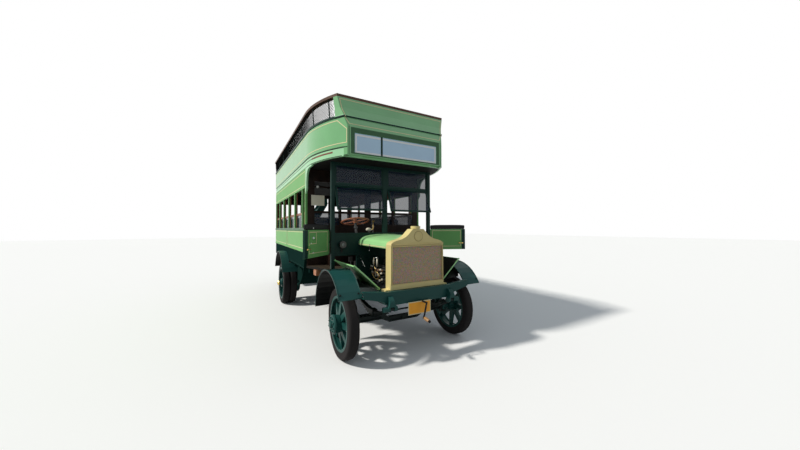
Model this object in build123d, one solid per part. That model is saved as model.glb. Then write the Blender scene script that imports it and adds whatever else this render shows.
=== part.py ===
from build123d import *
import os
from math import acos, asin, atan2, cos, degrees, hypot, radians, sin, sqrt, tan

os.makedirs("parts", exist_ok=True)

# An open-top double decker bus on solid tyres, with the driver on the vehicle's right.
# All lengths are in mm. While it is modelled, X runs to the vehicle's left, Y to its rear and Z up,
# and the origin is on the ground under the middle of the front axle.
# At the end everything is moved so that the origin lies under the middle of the whole outline.

# Running gear
wheelbase = 3527
tyre_radius = 469
tyre_width = 138
tyre_height = 108
tyre_shoulder = 34
wheel_height = tyre_radius
felloe_thickness = 24
spoke_count = 8
front_track_half = 929
rear_inner_tyre = 1031
rear_tyre_gap = 9
kingpin_x = 775
kingpin_radius = 14
spindle_radius = 25
rear_spindle_radius = 35
running_gap = 0.05
steer_angle = 30
steering_ratio = 12
steering_arm_length = 190
track_rod_drop = 40
track_rod_radius = 13

# Frame
rail_x = 480
rail_width = 66
rail_depth = 140
rail_top = 880
rail_thickness = 9
frame_front = -470
frame_rear = 5250
front_beam_half = 839
spring_half_span = 550
horn_pin_z = 718
horn_pin_radius = 33
horn_foot_half = 75
horn_boss = 45
front_shackle_z = 690
spring_width = 60
leaf_count = 7
leaf_thickness = 10
rear_spring_half_span = 620
rear_spring_eye_z = 700
rear_seat_z = 547
drum_radius = 232
drum_depth = 92

# Body
body_side = 1154
wall = 30
body_front = 1308
bay_start = 1592
bay_length = 757
bay_count = 5
post_width = 45
rocker_bottom = 1030
panel_bottom = 1333
sill_z = 1715
window_top = 2437
floor_top = 1100
floor_thickness = 40
deck_bottom = 2760
deck_thickness = 60
cornice_height = 138
upper_panel_height = 442
guard_height = 290
rail_wood_height = 40
deck_side = 1160
deck_front = 155
deck_corner_radius = 2000
deck_turn = 1200
upper_wall = 28

# Front of the upper deck
fascia_top_front = 230
fascia_flare = 28
sign_depth = 54
sign_half = 806
sign_drop = 22
sign_height = 403
sign_face_half = 722
sign_face_margin = 31
sign_face_height = 286

# Cab
post_x = 894
post_size = 56
post_y = 595
dash_bottom = 1307
dash_top = 1648
dash_thickness = 25
screen_hinge_z = 2402
screen_frame = 28
screen_drop = 410
screen_swing = 20
door_pin_x = 942
door_pin_y = 634
door_pin_radius = 6
door_length = 690
door_thickness = 32
door_bottom = 1335
door_top = 1713
door_open_right = 120
door_open_left = 96

# Controls
wheel_centre = (-430, 850, 1850)
column_lean = 13
steering_wheel_radius = 240
column_foot_z = 1185

# Bonnet and radiator
radiator_front = -441
radiator_depth = 150
radiator_half = 431
radiator_bottom = 922
radiator_shoulder = 1556
radiator_crown = 166
filler_height = 40
badge_rise = 66
core_sill = 68
core_head = 68
core_cheek = 19
bonnet_half_front = 428
bonnet_half_rear = 468
bonnet_edge_z = 1458
bonnet_crest_front = 1600
bonnet_crest_rear = 1640
bonnet_skin = 5
bonnet_side_x = 500
bonnet_side_z = 903
bonnet_side_height = 515
bonnet_side_length = 830
bonnet_side_open = 47
bonnet_side_travel = 50

# Mudguards
fender_radius = 600
fender_y = 75
fender_z = 580
fender_inner = 839
fender_outer = 1129
fender_lip_y = -448
fender_lip_depth = 16
fender_skin = 5
rear_fender_radius = 680
rear_fender_z = 530
rear_fender_outer = 1307
rear_fender_floor = 790

# Rear
platform_z = 620
platform_rear = 6540
stair_steps = 10

body_rear = bay_start + bay_count * bay_length
deck_top = deck_bottom + deck_thickness
cornice_top = deck_bottom + cornice_height
belt_z = cornice_top + upper_panel_height
rail_wood_bottom = belt_z + guard_height
rail_wood_top = rail_wood_bottom + rail_wood_height
sign_front = deck_front - sign_depth
sign_bottom = deck_bottom + sign_drop
sign_top = sign_bottom + sign_height
sign_face_bottom = sign_bottom + sign_face_margin
sign_face_top = sign_face_bottom + sign_face_height
radiator_peak = radiator_shoulder + radiator_crown + filler_height
badge_z = radiator_shoulder + badge_rise
core_bottom = radiator_bottom + core_sill
core_top = radiator_shoulder - core_head
core_half = radiator_half - core_cheek
rear_outer_tyre = rear_inner_tyre + tyre_width + rear_tyre_gap


# Helpers

def block(x, y, z):
    """A box between two limits on each axis."""
    size = [b - a for a, b in (x, y, z)]
    middle = [(a + b) / 2 for a, b in (x, y, z)]
    return Pos(*middle) * Box(*size)


def rod(start, end, radius):
    """A round bar between two points."""
    start, end = Vector(*start), Vector(*end)
    return Solid.make_cylinder(radius, (end - start).length, Plane(origin=start, z_dir=end - start))


def prism_x(points, x_from, x_to):
    """A side outline of (y, z) points, carried along X."""
    wire = Wire.make_polygon([(x_from, y, z) for y, z in points])
    return Solid.extrude(Face(wire), Vector(x_to - x_from, 0, 0))


def prism_y(points, y_from, y_to):
    """A front outline of (x, z) points, carried along Y."""
    wire = Wire.make_polygon([(x, y_from, z) for x, z in points])
    return Solid.extrude(Face(wire), Vector(0, y_to - y_from, 0))


def prism_z(points, z_from, z_to):
    """A plan outline of (x, y) points, carried along Z."""
    wire = Wire.make_polygon([(x, y, z_from) for x, y in points])
    return Solid.extrude(Face(wire), Vector(0, 0, z_to - z_from))


def turned_x(profile, y=0, z=0):
    """A closed profile of (x, radius) points turned about an axis along X."""
    face = Face(Wire.make_polygon([(x, 0, r) for x, r in profile]))
    return Pos(0, y, z) * revolve(face, Axis.X, 360)


def ring_x(x_from, x_to, inner, outer, y=0, z=0):
    """A plain ring about an axis along X."""
    return turned_x([(x_from, inner), (x_to, inner), (x_to, outer), (x_from, outer)], y, z)


def mirrored(shape):
    """The same piece on the other side of the centreline."""
    return shape.mirror(Plane.YZ)


def joined(shapes):
    """One solid from pieces that meet."""
    first, *rest = shapes
    return first.fuse(*rest)


def trimmed(shape, z_from, z_to):
    """What a shape has between two heights."""
    low = block((-2000, 2000), (-2000, 8000), (z_from - 500, z_from))
    high = block((-2000, 2000), (-2000, 8000), (z_to, z_to + 500))
    return shape.cut(low, high)


def both(shape):
    """A piece and its mirror image."""
    return [shape, mirrored(shape)]


made = {}


def keep(name, *shapes):
    """Adds solids to a node, until they are placed and written."""
    made.setdefault(name, []).extend(shapes)


# Plan outline of the upper deck: straight sides, a large round to a sharp front corner, a straight front

def deck_face(inset, front, z, rear=body_rear):
    """The deck's outline at one height, moved in by inset, with its front edge at front."""
    radius = deck_corner_radius - inset
    centre_x = deck_side - deck_corner_radius
    turn = asin((deck_turn - front) / radius)
    side = deck_side - inset
    corner = centre_x + radius * cos(turn)
    middle = (centre_x + radius * cos(turn / 2), deck_turn - radius * sin(turn / 2))
    edges = [
        Line((side, rear, z), (side, deck_turn, z)),
        ThreePointArc((side, deck_turn, z), (*middle, z), (corner, front, z)),
        Line((corner, front, z), (-corner, front, z)),
        ThreePointArc((-corner, front, z), (-middle[0], middle[1], z), (-side, deck_turn, z)),
        Line((-side, deck_turn, z), (-side, rear, z)),
        Line((-side, rear, z), (side, rear, z)),
    ]
    return Face(Wire(edges))


def deck_slab(inset, z_from, z_to, front=None, rear=body_rear):
    """A flat piece with the deck's outline."""
    front = deck_front + inset if front is None else front
    return Solid.extrude(deck_face(inset, front, z_from, rear), Vector(0, 0, z_to - z_from))


def deck_band(inset, thickness, z_from, z_to, front=None):
    """A wall along the deck's sides and front, open at the rear."""
    front = deck_front + inset if front is None else front
    outer = deck_slab(inset, z_from, z_to, front)
    inner = deck_slab(inset + thickness, z_from - 1, z_to + 1, front + thickness, body_rear + 10)
    return outer.cut(inner)


# Wheels and tyres

def tyre(centre_x, y):
    """A solid rubber tyre with rounded shoulders."""
    half, inner, s = tyre_width / 2, tyre_radius - tyre_height, tyre_shoulder
    turns = [radians(90 * i / shoulder_steps) for i in range(shoulder_steps + 1)]
    left = [(-half + s - s * cos(t), tyre_radius - s + s * sin(t)) for t in turns]
    outline = [(-half + 4, inner), (-half, inner + 12)] + left
    outline += [(-x, r) for x, r in reversed(outline)]
    return turned_x([(centre_x + x, r) for x, r in outline], y, wheel_height)


shoulder_steps = 3


def spoke(angle, hub_x, rim_x, hub_radius, rim_radius):
    """A cast arm, wide at the hub and narrow at the rim."""
    # columns: x, distance from the axis, width round the wheel, depth along the axle
    sections = [(hub_x, hub_radius, 84, 54), (rim_x, rim_radius, 52, 36)]
    wires = []
    for x, reach, width, depth in sections:
        corners = [(-1, -1), (1, -1), (1, 1), (-1, 1)]
        wires.append(Wire.make_polygon([(x + i * depth / 2, j * width / 2, reach) for i, j in corners]))
    arm = Solid.make_loft(wires, ruled=True)
    return arm.rotate(Axis.X, angle)


def spoked_wheel(hub_profile, rim_from, rim_to, hub_x, rim_x, hub_radius, y):
    """Hub, arms and felloe in one casting, turned about the axle."""
    rim_outer = tyre_radius - tyre_height
    rim_inner = rim_outer - felloe_thickness
    rim = turned_x([
        (rim_from, rim_inner - 10), (rim_from + 16, rim_inner - 10), (rim_from + 30, rim_inner),
        (rim_to - 30, rim_inner), (rim_to - 16, rim_inner - 10), (rim_to, rim_inner - 10),
        (rim_to, rim_outer), (rim_from, rim_outer),
    ])
    hub = turned_x(hub_profile)
    step = 360 / spoke_count
    arms = [spoke(i * step, hub_x, rim_x, hub_radius, rim_inner + 4) for i in range(spoke_count)]
    return Pos(0, y, wheel_height) * joined([hub, rim, *arms])


def front_wheel():
    bore = spindle_radius + running_gap
    inner, outer = front_track_half - tyre_width / 2, front_track_half + tyre_width / 2
    # columns: x, radius, from the bore out over the cap, the bolted end plate and the barrel
    hub = [
        (inner - 12, bore), (outer + 78, bore), (outer + 78, 0), (outer + 114, 0), (outer + 114, 34),
        (outer + 104, 46), (outer + 84, 50), (outer + 82, 108), (outer + 72, 122), (outer + 56, 128),
        (outer + 44, 118), (outer - 8, 116), (outer - 14, 92), (inner + 4, 84), (inner - 12, 80),
    ]
    return spoked_wheel(hub, inner + 4, outer - 4, outer - 38, front_track_half, 88, 0)


def rear_wheel():
    bore = rear_spindle_radius + running_gap
    inner = rear_inner_tyre - tyre_width / 2
    outer = rear_outer_tyre + tyre_width / 2
    middle = (inner + outer) / 2
    # columns: x, radius
    hub = [
        (inner - 26, bore), (outer + 2, bore), (outer + 2, 0), (outer + 38, 0), (outer + 38, 42),
        (outer + 26, 56), (outer, 60), (outer - 6, 96), (outer - 60, 104), (middle + 34, 116),
        (middle - 34, 116), (middle - 60, 100), (inner - 26, 96),
    ]
    return spoked_wheel(hub, inner + 4, outer - 4, middle + 18, middle, 104, wheelbase)


def brake_drum():
    """The drum on the inner side of a rear wheel, open toward the axle."""
    inner = rear_inner_tyre - tyre_width / 2
    shell = ring_x(inner - drum_depth, inner - 14, drum_radius - 14, drum_radius, wheelbase, wheel_height)
    plate = ring_x(inner - 26, inner - 14, 90, drum_radius - 4, wheelbase, wheel_height)
    return shell.fuse(plate)


front_left = front_wheel()
rear_left = rear_wheel().fuse(brake_drum())
keep("front_wheel_left", front_left)
keep("front_wheel_right", mirrored(front_left))
keep("front_tyre_left", tyre(front_track_half, 0))
keep("front_tyre_right", mirrored(tyre(front_track_half, 0)))
keep("rear_wheel_left", rear_left)
keep("rear_wheel_right", mirrored(rear_left))
twin = [tyre(rear_inner_tyre, wheelbase), tyre(rear_outer_tyre, wheelbase)]
keep("rear_tyres_left", *twin)
keep("rear_tyres_right", *[mirrored(t) for t in twin])


# Front axle, knuckles and track rod

fork_half = 60
fork_gap = 2
beam_top = 505


def front_axle():
    """A dropped I-beam with forked ends and fixed kingpins."""
    end = kingpin_x - 75
    drop_start, drop_end, drop = 360, 240, 58
    bottom = beam_top - 74
    outline = [
        (-end, bottom), (-drop_start, bottom), (-drop_end, bottom - drop), (drop_end, bottom - drop),
        (drop_start, bottom), (end, bottom), (end, beam_top), (drop_start, beam_top),
        (drop_end, beam_top - drop), (-drop_end, beam_top - drop), (-drop_start, beam_top),
        (-end, beam_top),
    ]
    beam = prism_y(outline, -32, 32)
    for side in (-1, 1):
        for x_from, x_to, low in ((20, drop_end - 20, drop), (drop_start + 10, end - 20, 0)):
            xs = sorted((side * x_from, side * x_to))
            for ys in ((-33, -9), (9, 33)):
                beam = beam.cut(block(xs, ys, (bottom - low + 14, beam_top - low - 14)))
    forks = []
    for side in (-1, 1):
        xs = sorted((side * end, side * kingpin_x))
        height = fork_half + fork_gap + 24
        fork = block(xs, (-34, 34), (wheel_height - height, wheel_height + height))
        top = wheel_height + height
        fork = fork.fuse(rod((side * kingpin_x, 0, 2 * wheel_height - top), (side * kingpin_x, 0, top), 34))
        reach = fork_half + fork_gap
        gap_x = sorted((side * (kingpin_x - 53), side * (kingpin_x + 60)))
        fork = fork.cut(block(gap_x, (-60, 60), (wheel_height - reach, wheel_height + reach)))
        pin = rod((side * kingpin_x, 0, 2 * wheel_height - top - 8), (side * kingpin_x, 0, top + 14), kingpin_radius)
        forks += [fork, pin]
    pads = [block((s * rail_x - 38, s * rail_x + 38), (-60, 60), (beam_top - 16, beam_top)) for s in (-1, 1)]
    return joined([beam, *forks, *pads])


def knuckle_left():
    """A barrel on the kingpin, the wheel's spindle and an arm for the track rod."""
    z = wheel_height
    outer = front_track_half + tyre_width / 2
    barrel = rod((kingpin_x, 0, z - fork_half), (kingpin_x, 0, z + fork_half), 33)
    shoulder = rod((kingpin_x, 0, z), (front_track_half - tyre_width / 2 - 18, 0, z), 40)
    spindle = rod((kingpin_x, 0, z), (outer + 70, 0, z), spindle_radius)
    arm_z = z - track_rod_drop
    arm = block((kingpin_x - 20, kingpin_x + 20), (0, steering_arm_length), (arm_z - 14, arm_z + 14))
    eye = rod((kingpin_x, steering_arm_length, arm_z - 14), (kingpin_x, steering_arm_length, arm_z + 14), 26)
    pin_top = arm_z + 14
    pin = rod((kingpin_x, steering_arm_length, pin_top), (kingpin_x, steering_arm_length, pin_top + 48), 9)
    body = joined([barrel, shoulder, spindle, arm, eye, pin])
    bore = rod((kingpin_x, 0, z - 200), (kingpin_x, 0, z + 200), kingpin_radius + running_gap)
    return body.cut(bore)


def track_rod():
    """A round rod with an eye on each steering arm's pin."""
    z = wheel_height - track_rod_drop + 14 + 2 + 20
    y = steering_arm_length
    bar = rod((-kingpin_x + 20, y, z), (kingpin_x - 20, y, z), track_rod_radius)
    eyes = [rod((s * kingpin_x, y, z - 18), (s * kingpin_x, y, z + 18), 24) for s in (-1, 1)]
    body = joined([bar, *eyes])
    for s, slack in ((1, running_gap), (-1, 1.0)):
        body = body.cut(rod((s * kingpin_x, y, z - 60), (s * kingpin_x, y, z + 60), 9 + slack))
    return body


left_knuckle = knuckle_left()
keep("front_axle", front_axle())
keep("knuckle_left", left_knuckle)
keep("knuckle_right", mirrored(left_knuckle))
keep("track_rod", track_rod())


# Rear axle

def rear_axle():
    """A round differential housing between two tubes, with spring seats and wheel spindles."""
    inner = rear_inner_tyre - tyre_width / 2
    outer = rear_outer_tyre + tyre_width / 2
    # columns: x, radius
    half = turned_x([
        (0, 0), (0, 172), (60, 172), (120, 130), (150, 84), (330, 66), (inner - 110, 62),
        (inner - 110, drum_radius - 22), (inner - 100, drum_radius - 22), (inner - 100, 80),
        (inner - 40, 80), (inner - 40, rear_spindle_radius), (outer - 4, rear_spindle_radius),
        (outer - 4, 0),
    ], wheelbase, wheel_height)
    nose = rod((0, wheelbase, wheel_height), (0, wheelbase - 300, wheel_height), 74)
    seats = []
    for side in (-1, 1):
        xs = (side * rail_x - 42, side * rail_x + 42)
        seats.append(block(xs, (wheelbase - 70, wheelbase + 70), (wheel_height, rear_seat_z)))
    return joined([half, mirrored(half), nose, *seats])


keep("rear_axle", rear_axle())


# Frame, springs and crossmembers

def leaf_spring(y, half_span, seat_z, eyes, x):
    """A pack of curved leaves with rolled eyes at two heights, the longest leaf on top."""
    rises = [eye_z - eye_bore - seat_z - leaf_count * leaf_thickness for eye_z in eyes]
    leaves = []
    for i in range(leaf_count):
        reach = half_span * (1 - leaf_step * i)
        base = seat_z + (leaf_count - 1 - i) * leaf_thickness
        low = []
        for t in [-1, -0.66, -0.33, 0, 0.33, 0.66, 1]:
            rise = rises[0] if t < 0 else rises[1]
            low.append((y + reach * t, base + rise * (reach * t / half_span) ** 2))
        high = [(a, b + leaf_thickness) for a, b in reversed(low)]
        leaves.append(prism_x(low + high, x - spring_width / 2, x + spring_width / 2))
    ends = list(zip((y - half_span, y + half_span), eyes))
    xs = (x - spring_width / 2, x + spring_width / 2)
    rings = [ring_x(*xs, eye_bore, 2 * eye_bore, *end) for end in ends]
    pack = joined(leaves)
    for end in ends:
        pack = pack.cut(ring_x(x - spring_width, x + spring_width, 0, eye_bore, *end))
    clamp = block((x - 40, x + 40), (y - 55, y + 55), (seat_z, seat_z + leaf_count * leaf_thickness + 16))
    return joined([pack, *rings, clamp])


eye_bore = 12
leaf_step = 0.12


def hanger(y, eye_z, x, top):
    """Two cheeks and a pin that hold a spring eye under a rail."""
    inner, outer = spring_width / 2 + 1, spring_width / 2 + 13
    cheeks = []
    for side in (-1, 1):
        xs = sorted((x + side * inner, x + side * outer))
        cheeks.append(prism_x([(y - 60, top), (y - 26, eye_z - 26), (y + 26, eye_z - 26), (y + 60, top)], *xs))
    pin = ring_x(x - outer - 10, x + outer + 10, 0, eye_bore, y, eye_z)
    return joined([*cheeks, pin])


def horn(side):
    """The curved front end of a rail, flaring into a wide foot that holds the spring's pin."""
    x, half = side * rail_x, rail_width / 2
    front = -spring_half_span
    throat = horn_pin_z + 92
    outline = [
        (frame_front + 120, rail_top), (frame_front, rail_top), (front + 16, rail_top - 22),
        (front - 18, rail_top - 56), (front - 30, throat - 6), (front + 34, throat - 6),
        (frame_front + 20, rail_top - 134), (frame_front + 120, rail_top - rail_depth),
    ]
    arm = prism_x(outline, x - half, x + half)
    # columns: height, half width, front edge, rear edge
    levels = [
        (throat, half, front - 28, front + 34), (throat - 34, half + 8, front - 34, front + 34),
        (throat - 62, half + 22, front - 36, front + 34), (horn_pin_z, horn_foot_half, front - 34, front + 34),
    ]
    parts = []
    for low, high in zip(levels, levels[1:]):
        wires = [
            Wire.make_polygon([(x - w, a, z), (x + w, a, z), (x + w, b, z), (x - w, b, z)])
            for z, w, a, b in (low, high)
        ]
        parts.append(Solid.make_loft(wires, ruled=True))
    parts.append(ring_x(x - horn_foot_half, x + horn_foot_half, 0, horn_pin_radius + 1, front, horn_pin_z))
    foot = joined(parts)
    slot_half = spring_width / 2 + 1
    slot = block((x - slot_half, x + slot_half), (front - 60, front + 60), (horn_pin_z - 60, horn_pin_z + 27))
    outward = sorted((x + side * (horn_foot_half - 1), x + side * (horn_foot_half + horn_boss)))
    boss = ring_x(*outward, 0, horn_pin_radius, front, horn_pin_z)
    pin = ring_x(x - horn_foot_half + 4, x + horn_foot_half - 4, 0, eye_bore, front, horn_pin_z)
    return joined([arm, foot.cut(slot), boss, pin])


def front_beam():
    """The pressed channel across the front, deep in the middle and lifted to the mudguards."""
    right = [(x, rail_top + low, rail_top + high) for x, low, high in beam_stations]
    whole = [(-x, low, high) for x, low, high in right] + right[::-1]
    outline = [(x, low) for x, low, high in whole] + [(x, high) for x, low, high in reversed(whole)]
    inside = [(x, low + beam_skin) for x, low, high in whole]
    inside += [(x, high - beam_skin) for x, low, high in reversed(whole)]
    back = beam_front + beam_depth
    beam = prism_y(outline, beam_front, back)
    beam = beam.cut(prism_y(inside, beam_front + beam_skin, back + 5))
    tab = block((front_beam_half - beam_skin, front_beam_half), (back - 8, back + 48), (rail_top + 4, rail_top + 46))
    return joined([beam, *both(tab)])


# columns: x, lower edge and upper edge above the rails
beam_stations = [(front_beam_half, -10, 75), (rail_x + 80, -80, 46), (rail_x + 25, -135, 38)]
beam_front = frame_front - 32
beam_depth = 60
beam_skin = 10


def chassis():
    """Two channel rails tied by crossmembers, with horns and spring hangers."""
    pieces = []
    bottom = rail_top - rail_depth
    for side in (-1, 1):
        x = side * rail_x
        rail = block((x - rail_width / 2, x + rail_width / 2), (frame_front + 90, frame_rear), (bottom, rail_top))
        inward = sorted((x - side * rail_width, x + side * (rail_width / 2 - rail_thickness)))
        inner_depth = (bottom + rail_thickness, rail_top - rail_thickness)
        hollow = block(inward, (frame_front + 100, frame_rear + 10), inner_depth)
        pieces += [rail.cut(hollow), horn(side)]
        pieces.append(hanger(spring_half_span, front_shackle_z, x, bottom))
        for end in (-1, 1):
            pieces.append(hanger(wheelbase + end * rear_spring_half_span, rear_spring_eye_z, x, bottom))
    inside = rail_x + rail_width / 2 - rail_thickness
    for y_from, y_to, z_from, z_to in crossmembers:
        pieces.append(block((-inside, inside), (y_from, y_to), (z_from, z_to)))
    pieces.append(front_beam())
    pieces.append(block((-34, 34), (beam_front + 4, frame_front + 20), (crank_z - 22, crank_z + 30)))
    return joined(pieces)


crank_z = 750
# columns: y from, y to, z from, z to
crossmembers = [
    (1480, 1560, 760, 840),
    (2000, 2080, 760, 840),
    (2860, 2940, 760, 860),
    (4180, 4260, 760, 860),
    (5180, 5250, 752, 868),
]

bare_frame = chassis().cut(rod((0, frame_front - 60, crank_z), (0, frame_front + 60, crank_z), 12 + running_gap))
keep("chassis_frame", bare_frame)
# columns: middle y, half span, seat height, heights of the front and rear eyes
spring_table = [
    (0, spring_half_span, beam_top, (horn_pin_z, front_shackle_z)),
    (wheelbase, rear_spring_half_span, rear_seat_z, (rear_spring_eye_z, rear_spring_eye_z)),
]
keep("leaf_springs", *[leaf_spring(*row, s * rail_x) for row in spring_table for s in (-1, 1)])


# Engine, gearbox and driveline

engine_front = -185
engine_rear = 470
case_half = 150
case_bottom = 640
case_top = 905
cylinder_top = 1240
cylinder_half = 104
flywheel_radius = 205
gearbox_top = 760


def engine():
    """A crankcase with two twin-cylinder blocks, on arms between the rails."""
    case = prism_x([
        (engine_front, 700), (engine_front + 90, case_bottom), (engine_rear - 60, case_bottom),
        (engine_rear, 700), (engine_rear, case_top), (engine_front, case_top),
    ], -case_half, case_half)
    arms = [block((-(rail_x - 24), rail_x - 24), (y - 28, y + 28), (835, 869)) for y in (-60, 360)]
    pieces = [case, *arms]
    for y in (engine_front + 165, engine_rear - 165):
        pieces.append(block((-cylinder_half, cylinder_half), (y - 140, y + 140), (case_top - 1, cylinder_top)))
        for bore_y in (y - 70, y + 70):
            pieces.append(rod((0, bore_y, cylinder_top - 10), (0, bore_y, cylinder_top + 26), 62))
            pieces.append(rod((0, bore_y, cylinder_top + 20), (0, bore_y, cylinder_top + 60), 16))
    wheel = rod((0, engine_rear - 10, crank_z), (0, engine_rear + 20, crank_z), 60)
    disc = rod((0, engine_rear + 14, crank_z), (0, engine_rear + 74, crank_z), flywheel_radius)
    return joined([*pieces, wheel, disc])


def manifolds():
    """Exhaust on the left, inlet and carburettor on the right, water pipe on top."""
    ports = [engine_front + 95, engine_front + 235, engine_rear - 235, engine_rear - 95]
    exhaust = [rod((165, ports[0] - 40, 1150), (165, ports[-1] + 40, 1150), 33)]
    exhaust += [rod((cylinder_half, y, 1150), (165, y, 1150), 24) for y in ports]
    exhaust.append(rod((165, ports[-1] + 20, 1150), (230, engine_rear + 30, 1000), 28))
    exhaust.append(rod((230, engine_rear + 30, 1008), (230, engine_rear + 30, 690), 28))
    exhaust.append(rod((230, engine_rear + 20, 705), (230, 2900, 705), 27))
    exhaust.append(rod((230, 2200, 705), (230, 2760, 705), 75))
    inlet = [rod((-150, ports[0], 1120), (-150, ports[-1], 1120), 24)]
    inlet += [rod((-cylinder_half, y, 1120), (-150, y, 1120), 20) for y in ports]
    middle = (ports[1] + ports[2]) / 2
    inlet.append(rod((-150, middle, 1120), (-150, middle, 980), 30))
    inlet.append(block((-200, -120), (middle - 40, middle + 40), (case_top + 15, 990)))
    water = [rod((0, ports[0], cylinder_top + 76), (0, ports[-1], cylinder_top + 76), 22)]
    water.append(rod((0, ports[0], cylinder_top + 76), (0, radiator_front + radiator_depth - 14, 1400), 22))
    return joined(exhaust), joined(inlet), joined(water)


def fan():
    """Four pitched blades on a shaft in front of the cylinders."""
    z = 1150
    shaft = rod((0, engine_front + 30, z), (0, engine_front - 62, z), 18)
    hub = rod((0, engine_front - 60, z), (0, engine_front - 36, z), 44)
    blades = []
    for i in range(4):
        blade = block((-42, 42), (-3, 3), (30, 190)).rotate(Axis.Z, 28)
        blades.append(Pos(0, engine_front - 48, z) * blade.rotate(Axis.Y, 45 + 90 * i))
    return joined([shaft, hub, *blades])


def driveline():
    """Clutch shaft, gearbox and propeller shaft."""
    box = prism_x([
        (1450, 700), (1500, 600), (2010, 600), (2070, 680), (2070, gearbox_top), (1450, gearbox_top),
    ], -140, 140)
    clutch = rod((0, engine_rear + 70, crank_z), (0, 1460, 700), 30)
    shaft = rod((0, 2060, 690), (0, wheelbase - 296, wheel_height), 30)
    joints = [rod((0, 2065, 690), (0, 2130, 676), 52)]
    joints.append(rod((0, wheelbase - 360, wheel_height + 12), (0, wheelbase - 298, wheel_height), 52))
    return joined([box, clutch, shaft, *joints])


block_casting = engine()
exhaust_side, inlet_side, water_pipe = manifolds()
keep("engine_and_gearbox", block_casting, driveline().cut(block_casting, made["rear_axle"][0]))


# Radiator

def radiator_shell():
    """A cast shell with an ogee top, a filler cap and a plain ring badge."""
    half, back = radiator_half, radiator_front + radiator_depth
    # columns: x, rise above the shoulder, from the left corner to the crown
    ogee = [
        (half - 4, -46), (half - 22, -16), (half - 52, 0), (330, 14), (262, 30), (205, 56), (160, 90),
        (120, 132), (84, radiator_crown),
    ]
    right = [(half, radiator_bottom)] + [(x, radiator_shoulder + rise) for x, rise in ogee]
    outline = right + [(-x, z) for x, z in reversed(right)]
    shell = prism_y(outline, radiator_front, back)
    shell = shell.cut(block((-core_half, core_half), (radiator_front - 5, back + 5), (core_bottom, core_top)))
    bars = [
        block((-half + 4, half - 4), (radiator_front - 6, radiator_front + 4), (core_top + rise, core_top + rise + 9))
        for rise in (16, 34)
    ]
    middle = radiator_front + radiator_depth / 2
    crown = radiator_shoulder + radiator_crown
    neck = rod((0, middle, crown - 22), (0, middle, crown + 6), 54)
    cap = rod((0, middle, crown + 4), (0, middle, radiator_peak), 68)
    badge = rod((0, radiator_front - 7, badge_z), (0, radiator_front + 3, badge_z), 60)
    badge = badge.cut(rod((0, radiator_front - 20, badge_z), (0, radiator_front - 2, badge_z), 42))
    feet = []
    for side in (-1, 1):
        xs = sorted((side * (half - 45), side * (half + 72)))
        feet.append(block(xs, (radiator_front + 14, back - 14), (rail_top, radiator_bottom + 6)))
    lug_x, lug_y = half - 6, radiator_front + 16
    lug = rod((lug_x, lug_y, radiator_bottom), (lug_x, lug_y, core_bottom + 16), lug_x - core_half)
    return joined([shell, *bars, neck, cap, badge, *feet, *both(lug)])


def radiator_core():
    """The core block, set back in the shell."""
    front, back = radiator_front + 14, radiator_front + radiator_depth - 14
    return block((-core_half, core_half), (front, back), (core_bottom, core_top))


keep("radiator_shell", radiator_shell())
keep("radiator_core", radiator_core())
keep("engine_fittings", exhaust_side.cut(block_casting), inlet_side.cut(block_casting))
keep("engine_fittings", fan().cut(block_casting), water_pipe.cut(block_casting, made["radiator_core"][0]))


# Bonnet

bonnet_front = radiator_front + radiator_depth
dash_front = post_y + 2
bonnet_leg = 26


def bonnet_section(y, half, edge_z, crest_z, inset):
    """Half-round outline with short upright legs and full shoulders."""
    side, crest = half - inset, crest_z - inset
    spring = edge_z + bonnet_leg
    count = 12
    arch = []
    for i in range(count + 1):
        turn = radians(180 * i / count)
        power = 2 / 2.7
        x = side * abs(cos(turn)) ** power * (1 if cos(turn) >= 0 else -1)
        arch.append((x, spring + (crest - spring) * abs(sin(turn)) ** power))
    low = edge_z - (0 if inset == 0 else 20)
    points = [(side, low)] + arch + [(-side, low)]
    return Wire.make_polygon([(x, y, z) for x, z in points])


def bonnet_top():
    shells = []
    for inset in (0, bonnet_skin):
        front = bonnet_section(bonnet_front, bonnet_half_front, bonnet_edge_z, bonnet_crest_front, inset)
        rear = bonnet_section(dash_front, bonnet_half_rear, bonnet_edge_z + 12, bonnet_crest_rear, inset)
        shells.append(Solid.make_loft([front, rear], ruled=True))
    return shells[0].cut(shells[1])


def bonnet_side():
    """The left side panel on its hinge barrels, in the open place it rests in."""
    x, z = bonnet_side_x, bonnet_side_z
    y_from, y_to = bonnet_front + 8, bonnet_front + 8 + bonnet_side_length
    sheet = block((x - 2, x + 3), (y_from, y_to), (z + 17, z + bonnet_side_height))
    tabs = [block((x - 2, x + 3), (a, b), (z + 7, z + 19)) for a, b in bonnet_barrels]
    rims = [
        block((x - 2, x + 14), (y_from, y_to), (z + bonnet_side_height - 6, z + bonnet_side_height)),
        block((x - 14, x + 3), (y_from, y_from + 6), (z + 18, z + bonnet_side_height)),
        block((x - 14, x + 3), (y_to - 6, y_to), (z + 18, z + bonnet_side_height)),
    ]
    barrels = [rod((x, a, z), (x, b, z), 10) for a, b in bonnet_barrels]
    panel = joined([sheet, *tabs, *rims, *barrels])
    panel = panel.cut(rod((x, y_from - 50, z), (x, y_to + 50, z), 5 + running_gap))
    hinge = Axis((x, 0, z), (0, 1, 0))
    return panel.rotate(hinge, bonnet_side_open)


def bonnet_hinge():
    """A fixed pin along the rail, on three small brackets."""
    x, z = bonnet_side_x, bonnet_side_z
    pin = rod((x, bonnet_barrels[0][0] - 20, z), (x, bonnet_barrels[-1][1] + 20, z), 5)
    half = hinge_seat_half
    seats = [block((x - half, x + half), (y - 10, y + 10), (rail_top, z + 6)) for y in bonnet_brackets]
    return joined([pin, *seats])


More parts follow.
